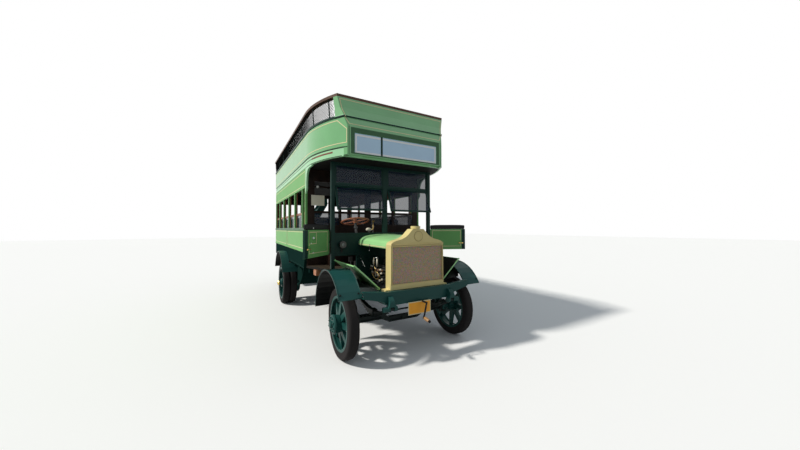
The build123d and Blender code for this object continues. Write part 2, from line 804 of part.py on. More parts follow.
# columns: y from, y to
bonnet_barrels = [(-235, -25), (5, 265), (295, 515)]
bonnet_brackets = [-250, -10, 280, 530]
hinge_seat_half = 8

left_panel = bonnet_side()
keep("bonnet_top", bonnet_top())
keep("bonnet_side_left", left_panel)
keep("bonnet_side_right", mirrored(left_panel))
keep("chassis_frame", *both(bonnet_hinge()))


# Front mudguards, rear mudguards and aprons

def fender_band(y, z, radius, turn_from, turn_to, x_from, x_to, depth, skin, lips):
    """A curved sheet between two angles, with its edges turned down on the sides named in lips."""
    def sector(outer, inner, xs):
        points = []
        for r, turns in ((outer, (turn_from, turn_to)), (inner, (turn_to, turn_from))):
            count = 16
            for i in range(count + 1):
                turn = radians(turns[0] + (turns[1] - turns[0]) * i / count)
                points.append((y + r * cos(turn), z + r * sin(turn)))
        return prism_x(points, *xs)
    pieces = [sector(radius, radius - skin, (x_from, x_to))]
    for edge in lips:
        xs = sorted((edge, edge + (skin if edge == x_from else -skin)))
        pieces.append(sector(radius, radius - depth, xs))
    return joined(pieces)


def front_fender():
    """A front mudguard on its left side, with the rear stay that holds it to the frame."""
    low, high = -2, degrees(atan2(fender_height(fender_lip_y) - fender_z, fender_lip_y - fender_y))
    band = fender_band(
        fender_y, fender_z, fender_radius, low, high, fender_inner, fender_outer, fender_lip_depth, fender_skin,
        (fender_inner, fender_outer),
    )
    rail_side, rail_low = rail_x + rail_width / 2, rail_top - rail_depth
    stay_rear = fender_y + fender_radius - 6
    stay = prism_y([
        (rail_side, rail_low + 30), (rail_side, rail_low + 10), (fender_inner - 10, fender_z + 10),
        (fender_inner, fender_z + 10), (fender_inner, fender_z + 28),
    ], stay_rear - 24, stay_rear)
    return joined([band, stay])


def fender_height(y, inset=0):
    """The height of the front mudguard's arc at a distance from the front axle."""
    return fender_z + sqrt((fender_radius - inset) ** 2 - (y - fender_y) ** 2)


def splash_apron():
    """A sheet from the rail's top edge out to a front mudguard, with a turned-up outer edge."""
    inner, thick = bonnet_side_x + hinge_seat_half + 1, 5
    wires = []
    for y in apron_stations:
        outer = fender_height(y) - apron_drop
        middle = rail_top + apron_rise * (min(outer, apron_level) - rail_top)
        lip = fender_height(y, fender_skin)
        points = [
            (inner, rail_top), (apron_bend, middle), (fender_inner, outer), (fender_inner, lip),
            (fender_inner - thick, lip), (fender_inner - thick, outer + thick), (apron_bend, middle + thick),
            (inner, rail_top + thick),
        ]
        wires.append(Wire.make_polygon([(x, y, z) for x, z in points]))
    return Solid.make_loft(wires, ruled=True)


apron_stations = [-300, -120, 75, 260, 420, 560]
apron_drop = 70
apron_level = 978
apron_rise = 0.8
apron_bend = 620


def rear_fender():
    """A rear mudguard, outside the body above the sill and over both tyres below it."""
    reach = asin((rear_fender_floor - rear_fender_z) / rear_fender_radius)
    turns = (degrees(reach), 180 - degrees(reach))
    body = body_side - 6
    outside = fender_band(
        wheelbase, rear_fender_z, rear_fender_radius, *turns, body, rear_fender_outer, 16, 5,
        (rear_fender_outer,),
    )
    inside = fender_band(
        wheelbase, rear_fender_z, rear_fender_radius, *turns, 960, body, 16, 5, (960,),
    )
    inside = inside.cut(block((900, 1200), (wheelbase - 700, wheelbase + 700), (rocker_bottom - 52, 1300)))
    return outside.fuse(inside)


# the curved apron at the rear of the cab, columns: y, z
apron_curve = [(1308, 1300), (1420, 1005), (1965, 668)]


def circle_through(a, b, c):
    """The centre and radius of the circle through three points."""
    d = 2 * (a[0] * (b[1] - c[1]) + b[0] * (c[1] - a[1]) + c[0] * (a[1] - b[1]))
    squares = [p[0] ** 2 + p[1] ** 2 for p in (a, b, c)]
    y = (squares[0] * (b[1] - c[1]) + squares[1] * (c[1] - a[1]) + squares[2] * (a[1] - b[1])) / d
    z = (squares[0] * (c[0] - b[0]) + squares[1] * (a[0] - c[0]) + squares[2] * (b[0] - a[0])) / d
    return y, z, hypot(a[0] - y, a[1] - z)


def apron_line(inset, low, high, count=12):
    """Points down the apron's curve, moved rearward by inset."""
    y, z, radius = circle_through(*apron_curve)
    last = apron_curve[-1]
    turns = [asin((high - z) / radius), asin((low - z) / radius)]
    if low <= last[1]:
        turns[1] = -acos((y - last[0]) / radius)
    steps = [turns[0] + (turns[1] - turns[0]) * i / count for i in range(count + 1)]
    return [(y - (radius - inset) * cos(t), z + (radius - inset) * sin(t)) for t in steps]


def apron_band(inset, thickness, x_from, x_to, low, high):
    """A sheet that follows the apron's curve."""
    near = apron_line(inset, low, high)
    far = apron_line(inset + thickness, low, high)
    return prism_x(near + far[::-1], x_from, x_to)


def side_apron():
    """The left apron sheet under the floor and the strip along its outer edge."""
    rail_side = rail_x + rail_width / 2
    low, top = apron_curve[2][1], apron_curve[0][1]
    sheet = apron_band(6, 6, rail_side, body_side - 6, low, floor_top)
    above = block((0, 1300), (900, 2100), (floor_top - floor_thickness, 1300))
    sheet = sheet.cut(rocker(), above)
    strip = apron_band(0, 30, body_side - 6, body_side + 6, low, top)
    return [sheet, strip]


def rocker():
    """The riveted dark panel under the left side, cut to the apron's curve."""
    front = apron_line(6, rocker_bottom, panel_bottom - 12)
    points = [(front[0][0], panel_bottom)] + front + [(body_rear, rocker_bottom), (body_rear, panel_bottom)]
    return prism_x(points, body_side - 34, body_side - 6)


left_fender = front_fender()
keep("front_fenders", left_fender)
keep("front_fenders", mirrored(left_fender))
keep("front_fenders", *both(splash_apron()))
keep("rear_fenders", *both(rear_fender()))
keep("rocker_panels", *both(rocker()))
keep("rocker_panels", *[p for piece in side_apron() for p in both(piece)])


# Floors and bearers

cab_half_front = 916
front_beam_y = 622


def bearers():
    """Timber packings on the rails and cross bearers under the floors."""
    bottom, top = rail_top + 100, floor_top - floor_thickness
    pieces = []
    for side in (-1, 1):
        xs = (side * rail_x - 30, side * rail_x + 30)
        pieces.append(block(xs, (front_beam_y, frame_rear), (rail_top, bottom + 1)))
    post_beam = prism_z([
        (-cab_half_front, post_y - post_size / 2), (-510, post_y - post_size / 2), (-510, front_beam_y + 1),
        (510, front_beam_y + 1), (510, post_y - post_size / 2), (cab_half_front, post_y - post_size / 2),
        (cab_half_front, front_beam_y + 62), (-cab_half_front, front_beam_y + 62),
    ], bottom, top)
    pieces.append(post_beam)
    for y, half in cross_bearers:
        pieces.append(block((-half, half), (y - 35, y + 35), (bottom, top)))
    return joined(pieces)


# columns: y, half length
cross_bearers = [
    (900, 960), (1300, 1090), (2000, 1120), (2500, 1120), (2955, 1120), (4100, 1120), (4700, 1120), (5300, 1120),
]

cab_floor = prism_z([
    (-cab_half_front, front_beam_y + 5), (cab_half_front, front_beam_y + 5),
    (body_side - 34, body_front), (34 - body_side, body_front),
], floor_top - floor_thickness, floor_top)
saloon_half = body_side - 34
keep("floor_bearers", bearers())
keep("lower_floor", cab_floor)
floor_levels = (floor_top - floor_thickness, floor_top)
keep("lower_floor", block((-saloon_half, saloon_half), (body_front, body_rear), floor_levels))
step = block((-1050, -880), (970, 1150), (965, floor_top - floor_thickness))
keep("cab_steps", *both(step))


# Cab front: dash, pillars and windscreen

def dash():
    """A full-width panel under the windscreen, with the firewall behind the engine."""
    wide, narrow = post_x - post_size / 2, bonnet_side_x + 4
    board = prism_y([
        (-narrow, rail_top), (narrow, rail_top), (narrow, dash_bottom), (wide, dash_bottom), (wide, dash_top),
        (-wide, dash_top), (-wide, dash_bottom), (-narrow, dash_bottom),
    ], dash_front, dash_front + dash_thickness)
    cap = block((-wide, wide), (dash_front - 10, dash_front + dash_thickness + 8), (dash_top - 4, dash_top + 14))
    sill = block((narrow, wide), (dash_front - 8, dash_front + 6), (dash_bottom, dash_bottom + 22))
    return joined([board, cap, *both(sill)])


def cab_posts():
    """The two front pillars, with lugs for the door hinges."""
    half = post_size / 2
    post = block(
        (post_x - half, post_x + half), (post_y - half, post_y + half), (floor_top - floor_thickness, deck_bottom),
    )
    lugs = [
        block((post_x, door_pin_x + 8), (post_y + half - 4, door_pin_y + 10), (z_from, z_to))
        for z_from, z_to in hinge_lugs
    ]
    pin = rod((door_pin_x, door_pin_y, hinge_lugs[0][0]), (door_pin_x, door_pin_y, hinge_lugs[-1][1]), door_pin_radius)
    return joined([post, *lugs, pin])


# columns: z from, z to
hinge_lugs = [
    (door_bottom + 1, door_bottom + 17), (door_bottom + 179, door_bottom + 195), (door_top - 17, door_top - 1),
]


def sash(x_from, x_to, z_from, z_to, width, y_from, y_to):
    """A plain window frame across the vehicle."""
    frame = block((x_from, x_to), (y_from, y_to), (z_from, z_to))
    return frame.cut(block((x_from + width, x_to - width), (y_from - 5, y_to + 5), (z_from + width, z_to - width)))


def windscreen():
    """Head and hinge rails, a middle post, two fixed panes and two lower panes swung forward."""
    wide = post_x - post_size / 2
    y_from, y_to = post_y - 14, post_y + 14
    middle = block((-40, 40), (post_y - 20, post_y + 26), (dash_top + 14, deck_bottom))
    hinge = block((-wide, wide), (y_from, y_to), (screen_hinge_z, screen_hinge_z + 22))
    head = block((-wide, wide), (y_from, y_to), (deck_bottom - 22, deck_bottom))
    fixed, swung = [], []
    pivot = Axis((0, post_y, screen_hinge_z - 6), (1, 0, 0))
    for side in (-1, 1):
        xs = sorted((side * 39, side * wide))
        fixed.append(sash(*xs, screen_hinge_z + 20, deck_bottom - 20, screen_frame, y_from + 4, y_to - 4))
        xs = sorted((side * 46, side * (wide - 4)))
        low = sash(*xs, screen_hinge_z - screen_drop, screen_hinge_z - 2, screen_frame, y_from + 4, y_to - 4)
        swung.append(low.rotate(pivot, -screen_swing))
    return joined([middle, hinge, head, *fixed, *swung])


def windscreen_glass():
    """Thin panes let into the windscreen frames."""
    wide = post_x - post_size / 2
    panes = []
    pivot = Axis((0, post_y, screen_hinge_z - 6), (1, 0, 0))
    for side in (-1, 1):
        xs = sorted((side * (39 + screen_frame), side * (wide - screen_frame)))
        z_from, z_to = screen_hinge_z + 20 + screen_frame, deck_bottom - 20 - screen_frame
        panes.append(block(xs, (post_y - 3, post_y + 3), (z_from, z_to)))
        xs = sorted((side * (46 + screen_frame), side * (wide - 4 - screen_frame)))
        z_from, z_to = screen_hinge_z - screen_drop + screen_frame, screen_hinge_z - 2 - screen_frame
        panes.append(block(xs, (post_y - 3, post_y + 3), (z_from, z_to)).rotate(pivot, -screen_swing))
    return panes


keep("dash_panel", dash())
keep("cab_front_frame", *both(cab_posts()))
keep("cab_front_frame", windscreen())
keep("window_glass", *windscreen_glass())

lamp_x, lamp_z = -753, 1482
lamp = joined([
    rod((lamp_x, dash_front, lamp_z), (lamp_x, dash_front - 34, lamp_z), 42),
    rod((lamp_x, dash_front - 30, lamp_z), (lamp_x, dash_front - 58, lamp_z), 54),
    block((lamp_x - 14, lamp_x + 14), (dash_front - 12, dash_front), (lamp_z - 120, lamp_z)),
])
keep("dash_lamp", lamp)


# Cab doors

door_turn = degrees(atan2(body_front - door_pin_y, body_side - door_pin_x))


def door_leaf():
    """A half door along +Y from its hinge at the origin."""
    half = door_thickness / 2
    leaf = block((-half, half), (20, door_length), (door_bottom, door_top))
    tubes, tabs = [], []
    for z_from, z_to in door_barrels:
        tubes.append(rod((0, 0, z_from), (0, 0, z_to), 12))
        tabs.append(block((-6, 6), (6, 24), (z_from, z_to)))
    handle = block((half - 1, half + 18), (door_length - 90, door_length - 74), (1440, 1500))
    leaf = joined([leaf, *tubes, *tabs, handle])
    return leaf.cut(rod((0, 0, door_bottom - 50), (0, 0, door_top + 50), door_pin_radius + running_gap))


def door_pad():
    """The padded top edge of a half door."""
    half = door_thickness / 2 + 3
    outline = [
        (-half, door_top), (half, door_top), (half, pad_top - 18), (half - 12, pad_top), (12 - half, pad_top),
        (-half, pad_top - 18),
    ]
    return prism_y(outline, 24, door_length - 4)


# columns: z from, z to
door_barrels = [(door_bottom + 23, door_bottom + 173), (door_bottom + 201, door_top - 23)]
pad_top = door_top + 77

# the leaf is drawn along +Y, so it turns clockwise to its closed line and on to its open place
for name, side, opened in (("left", 1, door_open_left), ("right", -1, door_open_right)):
    turn = door_turn - opened - 90
    for kind, shape in (("cab_door", door_leaf()), ("door_pad", door_pad())):
        placed = Pos(door_pin_x, door_pin_y, 0) * shape.rotate(Axis.Z, turn)
        keep(kind + "_" + name, placed if side > 0 else mirrored(placed))


# Controls


def steering_wheel():
    """A wooden rim on four spokes, turning on the column's spindle."""
    rim = Solid.make_torus(steering_wheel_radius - 14, 14)
    hub = ring_z(-30, 22, 11 + running_gap, 32)
    cap = rod((0, 0, 22), (0, 0, 34), 30)
    spoke_bar = block((24, steering_wheel_radius - 12), (-7, 7), (-6, 6))
    spokes = [spoke_bar.rotate(Axis.Z, 90 * i + 45) for i in range(4)]
    return rim, joined([hub, cap, *spokes])


def ring_z(z_from, z_to, inner, outer):
    """A plain upright ring at the origin."""
    return rod((0, 0, z_from), (0, 0, z_to), outer).cut(rod((0, 0, z_from - 5), (0, 0, z_to + 5), inner))


def on_column(shape):
    """Places a shape drawn about Z at the middle of the steering wheel."""
    lean = radians(column_lean)
    plane = Plane(origin=wheel_centre, x_dir=(1, 0, 0), z_dir=(0, sin(lean), cos(lean)))
    return plane.location * shape


drop = (wheel_centre[2] - column_foot_z) / cos(radians(column_lean))
column = on_column(joined([
    rod((0, 0, -drop), (0, 0, -36), 22), rod((0, 0, -60), (0, 0, 16), 11), rod((0, 0, -120), (0, 0, -90), 34),
]))
foot_y = wheel_centre[1] - (wheel_centre[2] - column_foot_z) * tan(radians(column_lean))
foot = block((wheel_centre[0] - 55, wheel_centre[0] + 55), (foot_y - 42, foot_y + 70), (floor_top, column_foot_z + 8))
keep("cab_controls", column.fuse(foot))
wheel_rim, wheel_spider = steering_wheel()
keep("steering_wheel", on_column(wheel_spider.fuse(wheel_rim)))

gear_lever = joined([
    rod((-150, 840, floor_top), (-125, 790, 1740), 11), Pos(-124, 788, 1760) * Sphere(27),
    block((-230, -110), (790, 890), (floor_top, floor_top + 60)),
    rod((-205, 850, floor_top), (-205, 800, 1560), 10), rod((-205, 800, 1540), (-205, 792, 1680), 16),
])
pedals = []
for pedal_x in (-560, -340, -260):
    arm = rod((pedal_x, 690, floor_top - 2), (pedal_x, 720, floor_top + 130), 9)
    pad = block((pedal_x - 32, pedal_x + 32), (708, 722), (floor_top + 90, floor_top + 170))
    pedals.append(arm.fuse(pad))
keep("cab_controls", *[piece.cut(cab_floor) for piece in (gear_lever, *pedals)])

crank = joined([
    rod((0, frame_front + 30, crank_z), (0, -640, crank_z), 12),
    rod((0, -632, crank_z), (-50, -640, 566), 12),
    rod((-50, -632, 566), (-50, -772, 548), 17),
])
keep("starting_crank", crank)


# Driver's seat

seat_from, seat_to = -790, -60
seat_base = block((seat_from, seat_to), (1010, body_front), (floor_top, 1420))
seat_back = block((seat_from, seat_to), (1262, body_front), (1419, 1560))
keep("driver_seat", seat_base.fuse(seat_back))
cushion = block((seat_from + 15, seat_to - 15), (1018, 1258), (1420, 1510))
keep("seat_cushions", fillet(cushion.edges(), 18))


# Saloon

pillars = [bay_start + i * bay_length for i in range(bay_count + 1)]
bays = [(a + post_width / 2, b - post_width / 2) for a, b in zip(pillars, pillars[1:])]
bays = [(body_front + post_width, bay_start - post_width / 2)] + bays
bays[-1] = (bays[-1][0], body_rear - post_width)


def saloon_side():
    """The left wall with a row of window openings, and its lower moulding."""
    side = block((saloon_half, body_side), (body_front, body_rear), (panel_bottom, deck_bottom))
    openings = [block((saloon_half - 9, body_side + 9), ys, (sill_z, window_top)) for ys in bays]
    lip = block((body_side - 5, body_side + 12), (body_front, body_rear), (panel_bottom - 10, panel_bottom + 8))
    below = block((body_side - 20, body_side + 0.01), (body_front - 5, body_rear + 5), (panel_bottom - 20, panel_bottom))
    lip = lip.cut(below)
    rail = block((body_side - 5, body_side + 10), (body_front, body_rear), (sill_z - 14, sill_z + 4))
    return joined([side.cut(*openings), lip, rail])


sash_top = 2025
lining = 24


def window_frames():
    """The left side's inner lining: half-dropped sashes with slim pillars above."""
    inner = saloon_half - lining
    low = sill_z - 35
    frame = block((inner, saloon_half), (body_front + 32, body_rear - 28), (low, deck_bottom))
    cuts = []
    for y_from, y_to in bays:
        cuts.append(block((inner - 5, saloon_half + 5), (y_from + 5, y_to - 5), (sash_top, window_top + 20)))
        cuts.append(block((inner - 5, saloon_half + 5), (y_from + 38, y_to - 38), (sill_z + 32, sash_top - 42)))
    return frame.cut(*cuts)


def window_panes():
    """Glass in the left side's dropped sashes."""
    xs = (saloon_half - lining / 2 - 3, saloon_half - lining / 2 + 3)
    return [block(xs, (y_from + 38, y_to - 38), (sill_z + 32, sash_top - 42)) for y_from, y_to in bays]


bulkhead_windows = [(-1000, -560), (-520, -60), (60, 520), (560, 1000)]


def front_bulkhead():
    """The wall behind the driver, with four windows and a rail across them."""
    wall_plate = block((-saloon_half, saloon_half), (body_front, body_front + 32), (floor_top, deck_bottom))
    cuts = []
    for x_from, x_to in bulkhead_windows:
        cuts.append(block((x_from, x_to), (body_front - 5, body_front + 40), (1800, 2000)))
        cuts.append(block((x_from, x_to), (body_front - 5, body_front + 40), (2040, 2550)))
    return wall_plate.cut(*cuts)


def bulkhead_panes():
    """Glass in the lower row of the front bulkhead."""
    y = body_front + 16
    return [block((a, b), (y - 3, y + 3), (1800, 2000)) for a, b in bulkhead_windows]


def rear_bulkhead():
    """The rear wall with its doorway and two windows."""
    wall_plate = block((-saloon_half, saloon_half), (body_rear - 28, body_rear), (floor_top, deck_bottom))
    ys = (body_rear - 40, body_rear + 5)
    cuts = [block((-380, 380), ys, (floor_top - 5, 2680))]
    cuts += [block((x - 270, x + 270), ys, (sill_z, window_top)) for x in (-740, 740)]
    return wall_plate.cut(*cuts)


seat_rows = [1720 + 640 * i for i in range(6)]


def saloon_seats():
    """Bench frames on both sides of the gangway."""
    frames = []
    for y in seat_rows:
        frames.append(joined([
            block((260, saloon_half - 30), (y, y + 420), (1440, 1462)),
            block((260, saloon_half - 30), (y + 400, y + 424), (1440, 1960)),
            block((262, 296), (y + 30, y + 400), (floor_top, 1441)),
            block((saloon_half - 90, saloon_half - 30), (y + 30, y + 400), (floor_top, 1441)),
        ]))
    return frames


def saloon_cushions():
    """Seat and back cushions on the saloon benches."""
    pieces = []
    for y in seat_rows:
        base = block((266, saloon_half - 36), (y + 4, y + 400), (1462, 1540))
        back = block((266, saloon_half - 36), (y + 342, y + 400), (1544, 1930))
        pieces += [fillet(base.edges(), 14), fillet(back.edges(), 14)]
    return pieces


keep("saloon_sides", *both(saloon_side()))
keep("window_frames", *both(window_frames()))
keep("window_glass", *[p for pane in window_panes() for p in both(pane)], *bulkhead_panes())
keep("bulkheads", front_bulkhead())
keep("bulkheads", rear_bulkhead())
keep("saloon_seats", *[p for f in saloon_seats() for p in both(f)])
keep("seat_cushions", *[p for f in saloon_cushions() for p in both(f)])


# Upper deck

cornice_inset = 10
letter_inset = 6
# the arch's middle, its reach rearward and upward, and how square its corner is
arch_y, arch_z, arch_reach, arch_rise, arch_power = 940, 2400, 305, 335, 3.2
arch_foot = 2330
rear_opening = (300, 1130)


def spandrels():
    """The arched corner panels between the canopy and the body, both sides."""
    ring = deck_band(letter_inset, 30, arch_foot, deck_bottom)
    ring = ring.cut(block((-1300, 1300), (body_front, body_rear + 20), (arch_foot - 50, deck_bottom + 50)))
    count = 10
    turns = [radians(90 * i / count) for i in range(count + 1)]
    arch = [
        (arch_y + arch_reach * cos(t) ** (2 / arch_power), arch_z + arch_rise * sin(t) ** (2 / arch_power))
        for t in turns[:-1]
    ]
    opening = [(0, arch_foot - 20), (body_front, arch_foot - 20), (body_front, arch_foot)] + arch
    opening += [(arch_y, arch_z + arch_rise), (arch_y, deck_bottom + 20), (0, deck_bottom + 20)]
    return ring.cut(prism_x(opening, -1300, 1300)).solids()


def fascia():
    """The hollow-faced panel above the front belt, leaning back and out to the top rail."""
    # columns: inset, front edge, height
    levels = [
        (0, deck_front, belt_z), (-8, deck_front + 52, belt_z + 0.45 * guard_height),
        (-fascia_flare, fascia_top_front, rail_wood_bottom),
    ]
    shells = []
    for inset in (0, upper_wall):
        wires = [deck_face(a + inset, front + inset, z).outer_wire() for a, front, z in levels]
        parts = [Solid.make_loft(list(pair), ruled=True) for pair in zip(wires, wires[1:])]
        shells.append(joined(parts))
    behind = block((-1300, 1300), (fascia_return, body_rear + 50), (belt_z - 40, rail_wood_top + 40))
    return shells[0].cut(shells[1], behind)


def sign():
    """A shallow box across the front with a blank sunk face."""
    low_front = deck_front + cornice_inset
    box = prism_x([
        (deck_front, belt_z - 15), (sign_front, sign_top), (sign_front, sign_bottom), (low_front, sign_bottom),
        (low_front, cornice_top), (deck_front, cornice_top),
    ], -sign_half, sign_half)
    face = (sign_face_bottom, sign_face_top)
    return box.cut(block((-sign_face_half, sign_face_half), (sign_front - 5, sign_front + 10), face))


def guard_posts():
    """Short stanchions between the side panels and the top rail."""
    pieces = []
    lean = fascia_flare - 6
    for y in guard_stations:
        reach = deck_edge(y)
        low = (reach - 12, y, belt_z - 20)
        high = (reach + lean - 14, y, rail_wood_bottom + 20)
        pieces += both(trimmed(rod(low, high, 9), belt_z, rail_wood_bottom))
    for x in (-1000, -560, -120):
        pieces.append(rod((x, body_rear - 14, belt_z), (x, body_rear - 14, rail_wood_bottom), 9))
    return pieces


def deck_edge(y):
    """Half width of the upper deck at a distance from the front axle."""
    if y >= deck_turn:
        return deck_side
    return deck_side - deck_corner_radius + sqrt(deck_corner_radius ** 2 - (deck_turn - y) ** 2)


fascia_return = 300
guard_stations = [420, 860, 1592, 2349, 3106, 3863, 4620, 5340]

cornice = deck_band(cornice_inset, 28, deck_bottom, cornice_top)
belt = deck_band(-12, 12, belt_z - 15, belt_z + 15)
belt = belt.cut(block((-1300, 1300), (0, fascia_return), (belt_z, belt_z + 40)))
keep("cornice", *spandrels())
keep("cornice", cornice)
keep("upper_floor", deck_slab(cornice_inset + 28, deck_bottom, deck_top))
rear_panel = prism_y([
    (-1122, deck_top), (-1122, cornice_top), (-1132, cornice_top), (-1132, belt_z), (rear_opening[0], belt_z),
    (rear_opening[0], deck_top),
], body_rear - 28, body_rear)
keep("upper_panels", deck_band(0, upper_wall, cornice_top, belt_z), rear_panel)
keep("belt_and_guard_posts", belt)
keep("front_fascia", fascia())
keep("sign_box", sign())
keep("belt_and_guard_posts", *guard_posts())
top_rail = deck_band(-fascia_flare, 70, rail_wood_bottom, rail_wood_top, fascia_top_front)
rear_rail = block((-1120, rear_opening[0]), (body_rear - 50, body_rear), (rail_wood_bottom, rail_wood_top))
keep("top_rail", top_rail.fuse(rear_rail))


def upper_bench(y):
    """A slatted garden seat: slats let into two end frames."""
    ends = []
    for x in (250, 1020):
        ends.append(prism_x([
            (y + 20, deck_top), (y + 70, deck_top), (y + 70, deck_top + 380), (y + 380, deck_top + 370),
            (y + 380, deck_top), (y + 430, deck_top), (y + 430, deck_top + 380), (y + 500, deck_top + 740),
            (y + 470, deck_top + 745), (y + 400, deck_top + 410), (y + 20, deck_top + 420),
        ], x - 15, x + 15))
    starts = [y + 20 + 80 * i for i in range(5)]
    slats = [block((235, 1035), (a, a + 62), (deck_top + 406, deck_top + 428)) for a in starts]
    for rise in (480, 580, 680):
        lean = y + 400 + (rise - 410) * 70 / 335
        slats.append(block((235, 1035), (lean - 14, lean + 16), (deck_top + rise, deck_top + rise + 56)))
    return ends + [slat.cut(*ends) for slat in slats]


bench_rows = [1250 + 620 * i for i in range(6)]
keep("upper_seats", *[piece for y in bench_rows for part in upper_bench(y) for piece in both(part)])


# Rear platform and staircase

platform_left, platform_right = 1130, -1000
landing_x = 500
stair_front, stair_rear = platform_rear - 610, platform_rear - 10


def platform():
    """A low floor on two dropped bearers, with a step up to the doorway."""
    low = platform_z - 30
    floor = block((platform_right, platform_left), (body_rear + 4, platform_rear), (low, platform_z))
    pieces = [floor, block((-400, 400), (body_rear + 4, body_rear + 270), (platform_z - 1, platform_z + 240))]
    bottom = rail_top - rail_depth
    for side in (-1, 1):
        xs = (side * rail_x - 30, side * rail_x + 30)
        pieces.append(prism_x([
            (4880, bottom), (frame_rear, bottom), (body_rear + 20, low + 1), (platform_rear - 80, low + 1),
            (platform_rear - 80, low - 50), (body_rear - 40, low - 50), (4880, bottom - 60),
        ], *xs))
    return joined(pieces)


def rear_dash():
    """The low panels round the platform's left side and rear."""
    top = platform_z + 830
    side = block((platform_left - 22, platform_left), (body_rear + 4, platform_rear), (platform_z, top))
    rear = block((-600, platform_left), (platform_rear - 22, platform_rear), (platform_z, top))
    return side.fuse(rear)


def staircase():
    """A straight flight across the rear, up to a landing beside the deck."""
    rise = (deck_top - platform_z) / stair_steps
    going = 140
    foot_x = landing_x - going * (stair_steps - 1)
    y_from, y_to = stair_front, platform_rear - 24
    treads = []
    for i in range(1, stair_steps):
        x = foot_x + going * (i - 1)
        z = platform_z + rise * i
        treads.append(block((x, x + going + 30), (y_from, y_to), (z - 26, z)))
    slope = rise / going
    band = 300
    strings = []
    for ys in ((y_from - 24, y_from), (y_to - 22, y_to)):
        strings.append(prism_y([
            (foot_x - 40, platform_z), (foot_x + 150, platform_z), (landing_x, deck_top - band),
            (landing_x, deck_top), (landing_x - 40, deck_top), (foot_x - 40, platform_z + rise),
        ], *ys))
    landing = block((landing_x, platform_left), (body_rear, platform_rear - 24), (deck_top - 40, deck_top))
    posts = [rod((x, y, platform_z), (x, y, deck_top - 39), 24) for x, y in (
        (platform_left - 52, platform_rear - 60), (landing_x + 40, y_from - 60), (platform_left - 52, body_rear + 60),
    )]
    return joined([*treads, *strings, landing, *posts])


def landing_guard():
    """Panels and a handrail round the landing."""
    side = block((platform_left - 20, platform_left), (body_rear + 4, platform_rear - 24), (deck_top, belt_z))
    rear = block((landing_x, platform_left), (platform_rear - 44, platform_rear - 24), (deck_top, belt_z))
    x, y, z = platform_left - 10, platform_rear - 34, rail_wood_bottom - 30
    rails = [rod((x, body_rear + 8, z), (x, y, z), 14), rod((x, y, z), (landing_x, y, z), 14)]
    posts = [(x, body_rear + 24), (x, y), (landing_x + 20, y)]
    rails += [rod((a, b, belt_z - 1), (a, b, z + 2), 10) for a, b in posts]
    return joined([side, rear, *rails])


keep("platform_and_stairs", platform())
keep("platform_panels", rear_dash())
keep("platform_and_stairs", staircase())
keep("platform_panels", landing_guard())


# Placing and writing: the origin goes under the middle of the whole outline

boxes = [shape.bounding_box() for shapes in made.values() for shape in shapes]
middle_x = (min(b.min.X for b in boxes) + max(b.max.X for b in boxes)) / 2
middle_y = (min(b.min.Y for b in boxes) + max(b.max.Y for b in boxes)) / 2
for node, shapes in made.items():
    placed = [Pos(-middle_x, -middle_y, 0) * shape for shape in shapes]
    export_step(Compound(placed), "parts/" + node + ".step")
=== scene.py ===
from math import asin, atan2, cos, degrees, exp, pi, radians, sin, sqrt

import bpy
from mathutils import Matrix, Vector


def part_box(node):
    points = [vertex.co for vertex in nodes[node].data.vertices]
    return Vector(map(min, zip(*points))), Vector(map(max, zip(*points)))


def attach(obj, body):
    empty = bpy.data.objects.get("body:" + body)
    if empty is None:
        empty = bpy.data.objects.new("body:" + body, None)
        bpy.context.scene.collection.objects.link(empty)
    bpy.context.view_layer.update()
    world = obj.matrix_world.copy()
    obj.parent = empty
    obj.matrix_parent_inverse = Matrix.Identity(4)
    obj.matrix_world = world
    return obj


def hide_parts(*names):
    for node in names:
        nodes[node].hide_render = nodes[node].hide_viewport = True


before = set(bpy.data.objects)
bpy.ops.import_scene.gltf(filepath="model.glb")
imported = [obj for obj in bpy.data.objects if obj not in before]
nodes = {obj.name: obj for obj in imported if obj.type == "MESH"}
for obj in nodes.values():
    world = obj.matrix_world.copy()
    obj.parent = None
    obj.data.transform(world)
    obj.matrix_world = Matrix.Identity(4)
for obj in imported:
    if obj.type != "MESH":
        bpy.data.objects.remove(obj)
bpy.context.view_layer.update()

# Lengths here are in mm, in the bus's own coordinates: X to its left, Y to its rear, Z up,
# from the ground under the middle of the front axle. MOVE takes them to the frame's origin.
tyre_low, tyre_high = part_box("front_tyre_left")
tyre_middle = (tyre_low + tyre_high) * 500
half_track = 929
MOVE = Vector((half_track - tyre_middle.x, -tyre_middle.y, 0))
ROOT = "chassis"


def place(p):
    """A point in mm as one in metres in the frame."""
    return (Vector(p) - MOVE) / 1000


# Materials

def new_material(name, rough, metal=0.0, coat=0.0, specular=0.5):
    """A material with its shader's plain values set, its node tree and its shader."""
    m = bpy.data.materials.new(name)
    m.use_nodes = True
    shader = m.node_tree.nodes["Principled BSDF"]
    shader.inputs["Roughness"].default_value = rough
    shader.inputs["Metallic"].default_value = metal
    shader.inputs["Coat Weight"].default_value = coat
    shader.inputs["Coat Roughness"].default_value = 0.08
    shader.inputs["Specular IOR Level"].default_value = specular
    return m, m.node_tree, shader


def ramp_of(tree, source, stops):
    """A colour ramp fed by a value. Each stop is (position, colour)."""
    ramp = tree.nodes.new("ShaderNodeValToRGB")
    for element, (position, color) in zip(ramp.color_ramp.elements, stops):
        element.position, element.color = position, (*color, 1)
    tree.links.new(source, ramp.inputs["Fac"])
    return ramp.outputs["Color"]


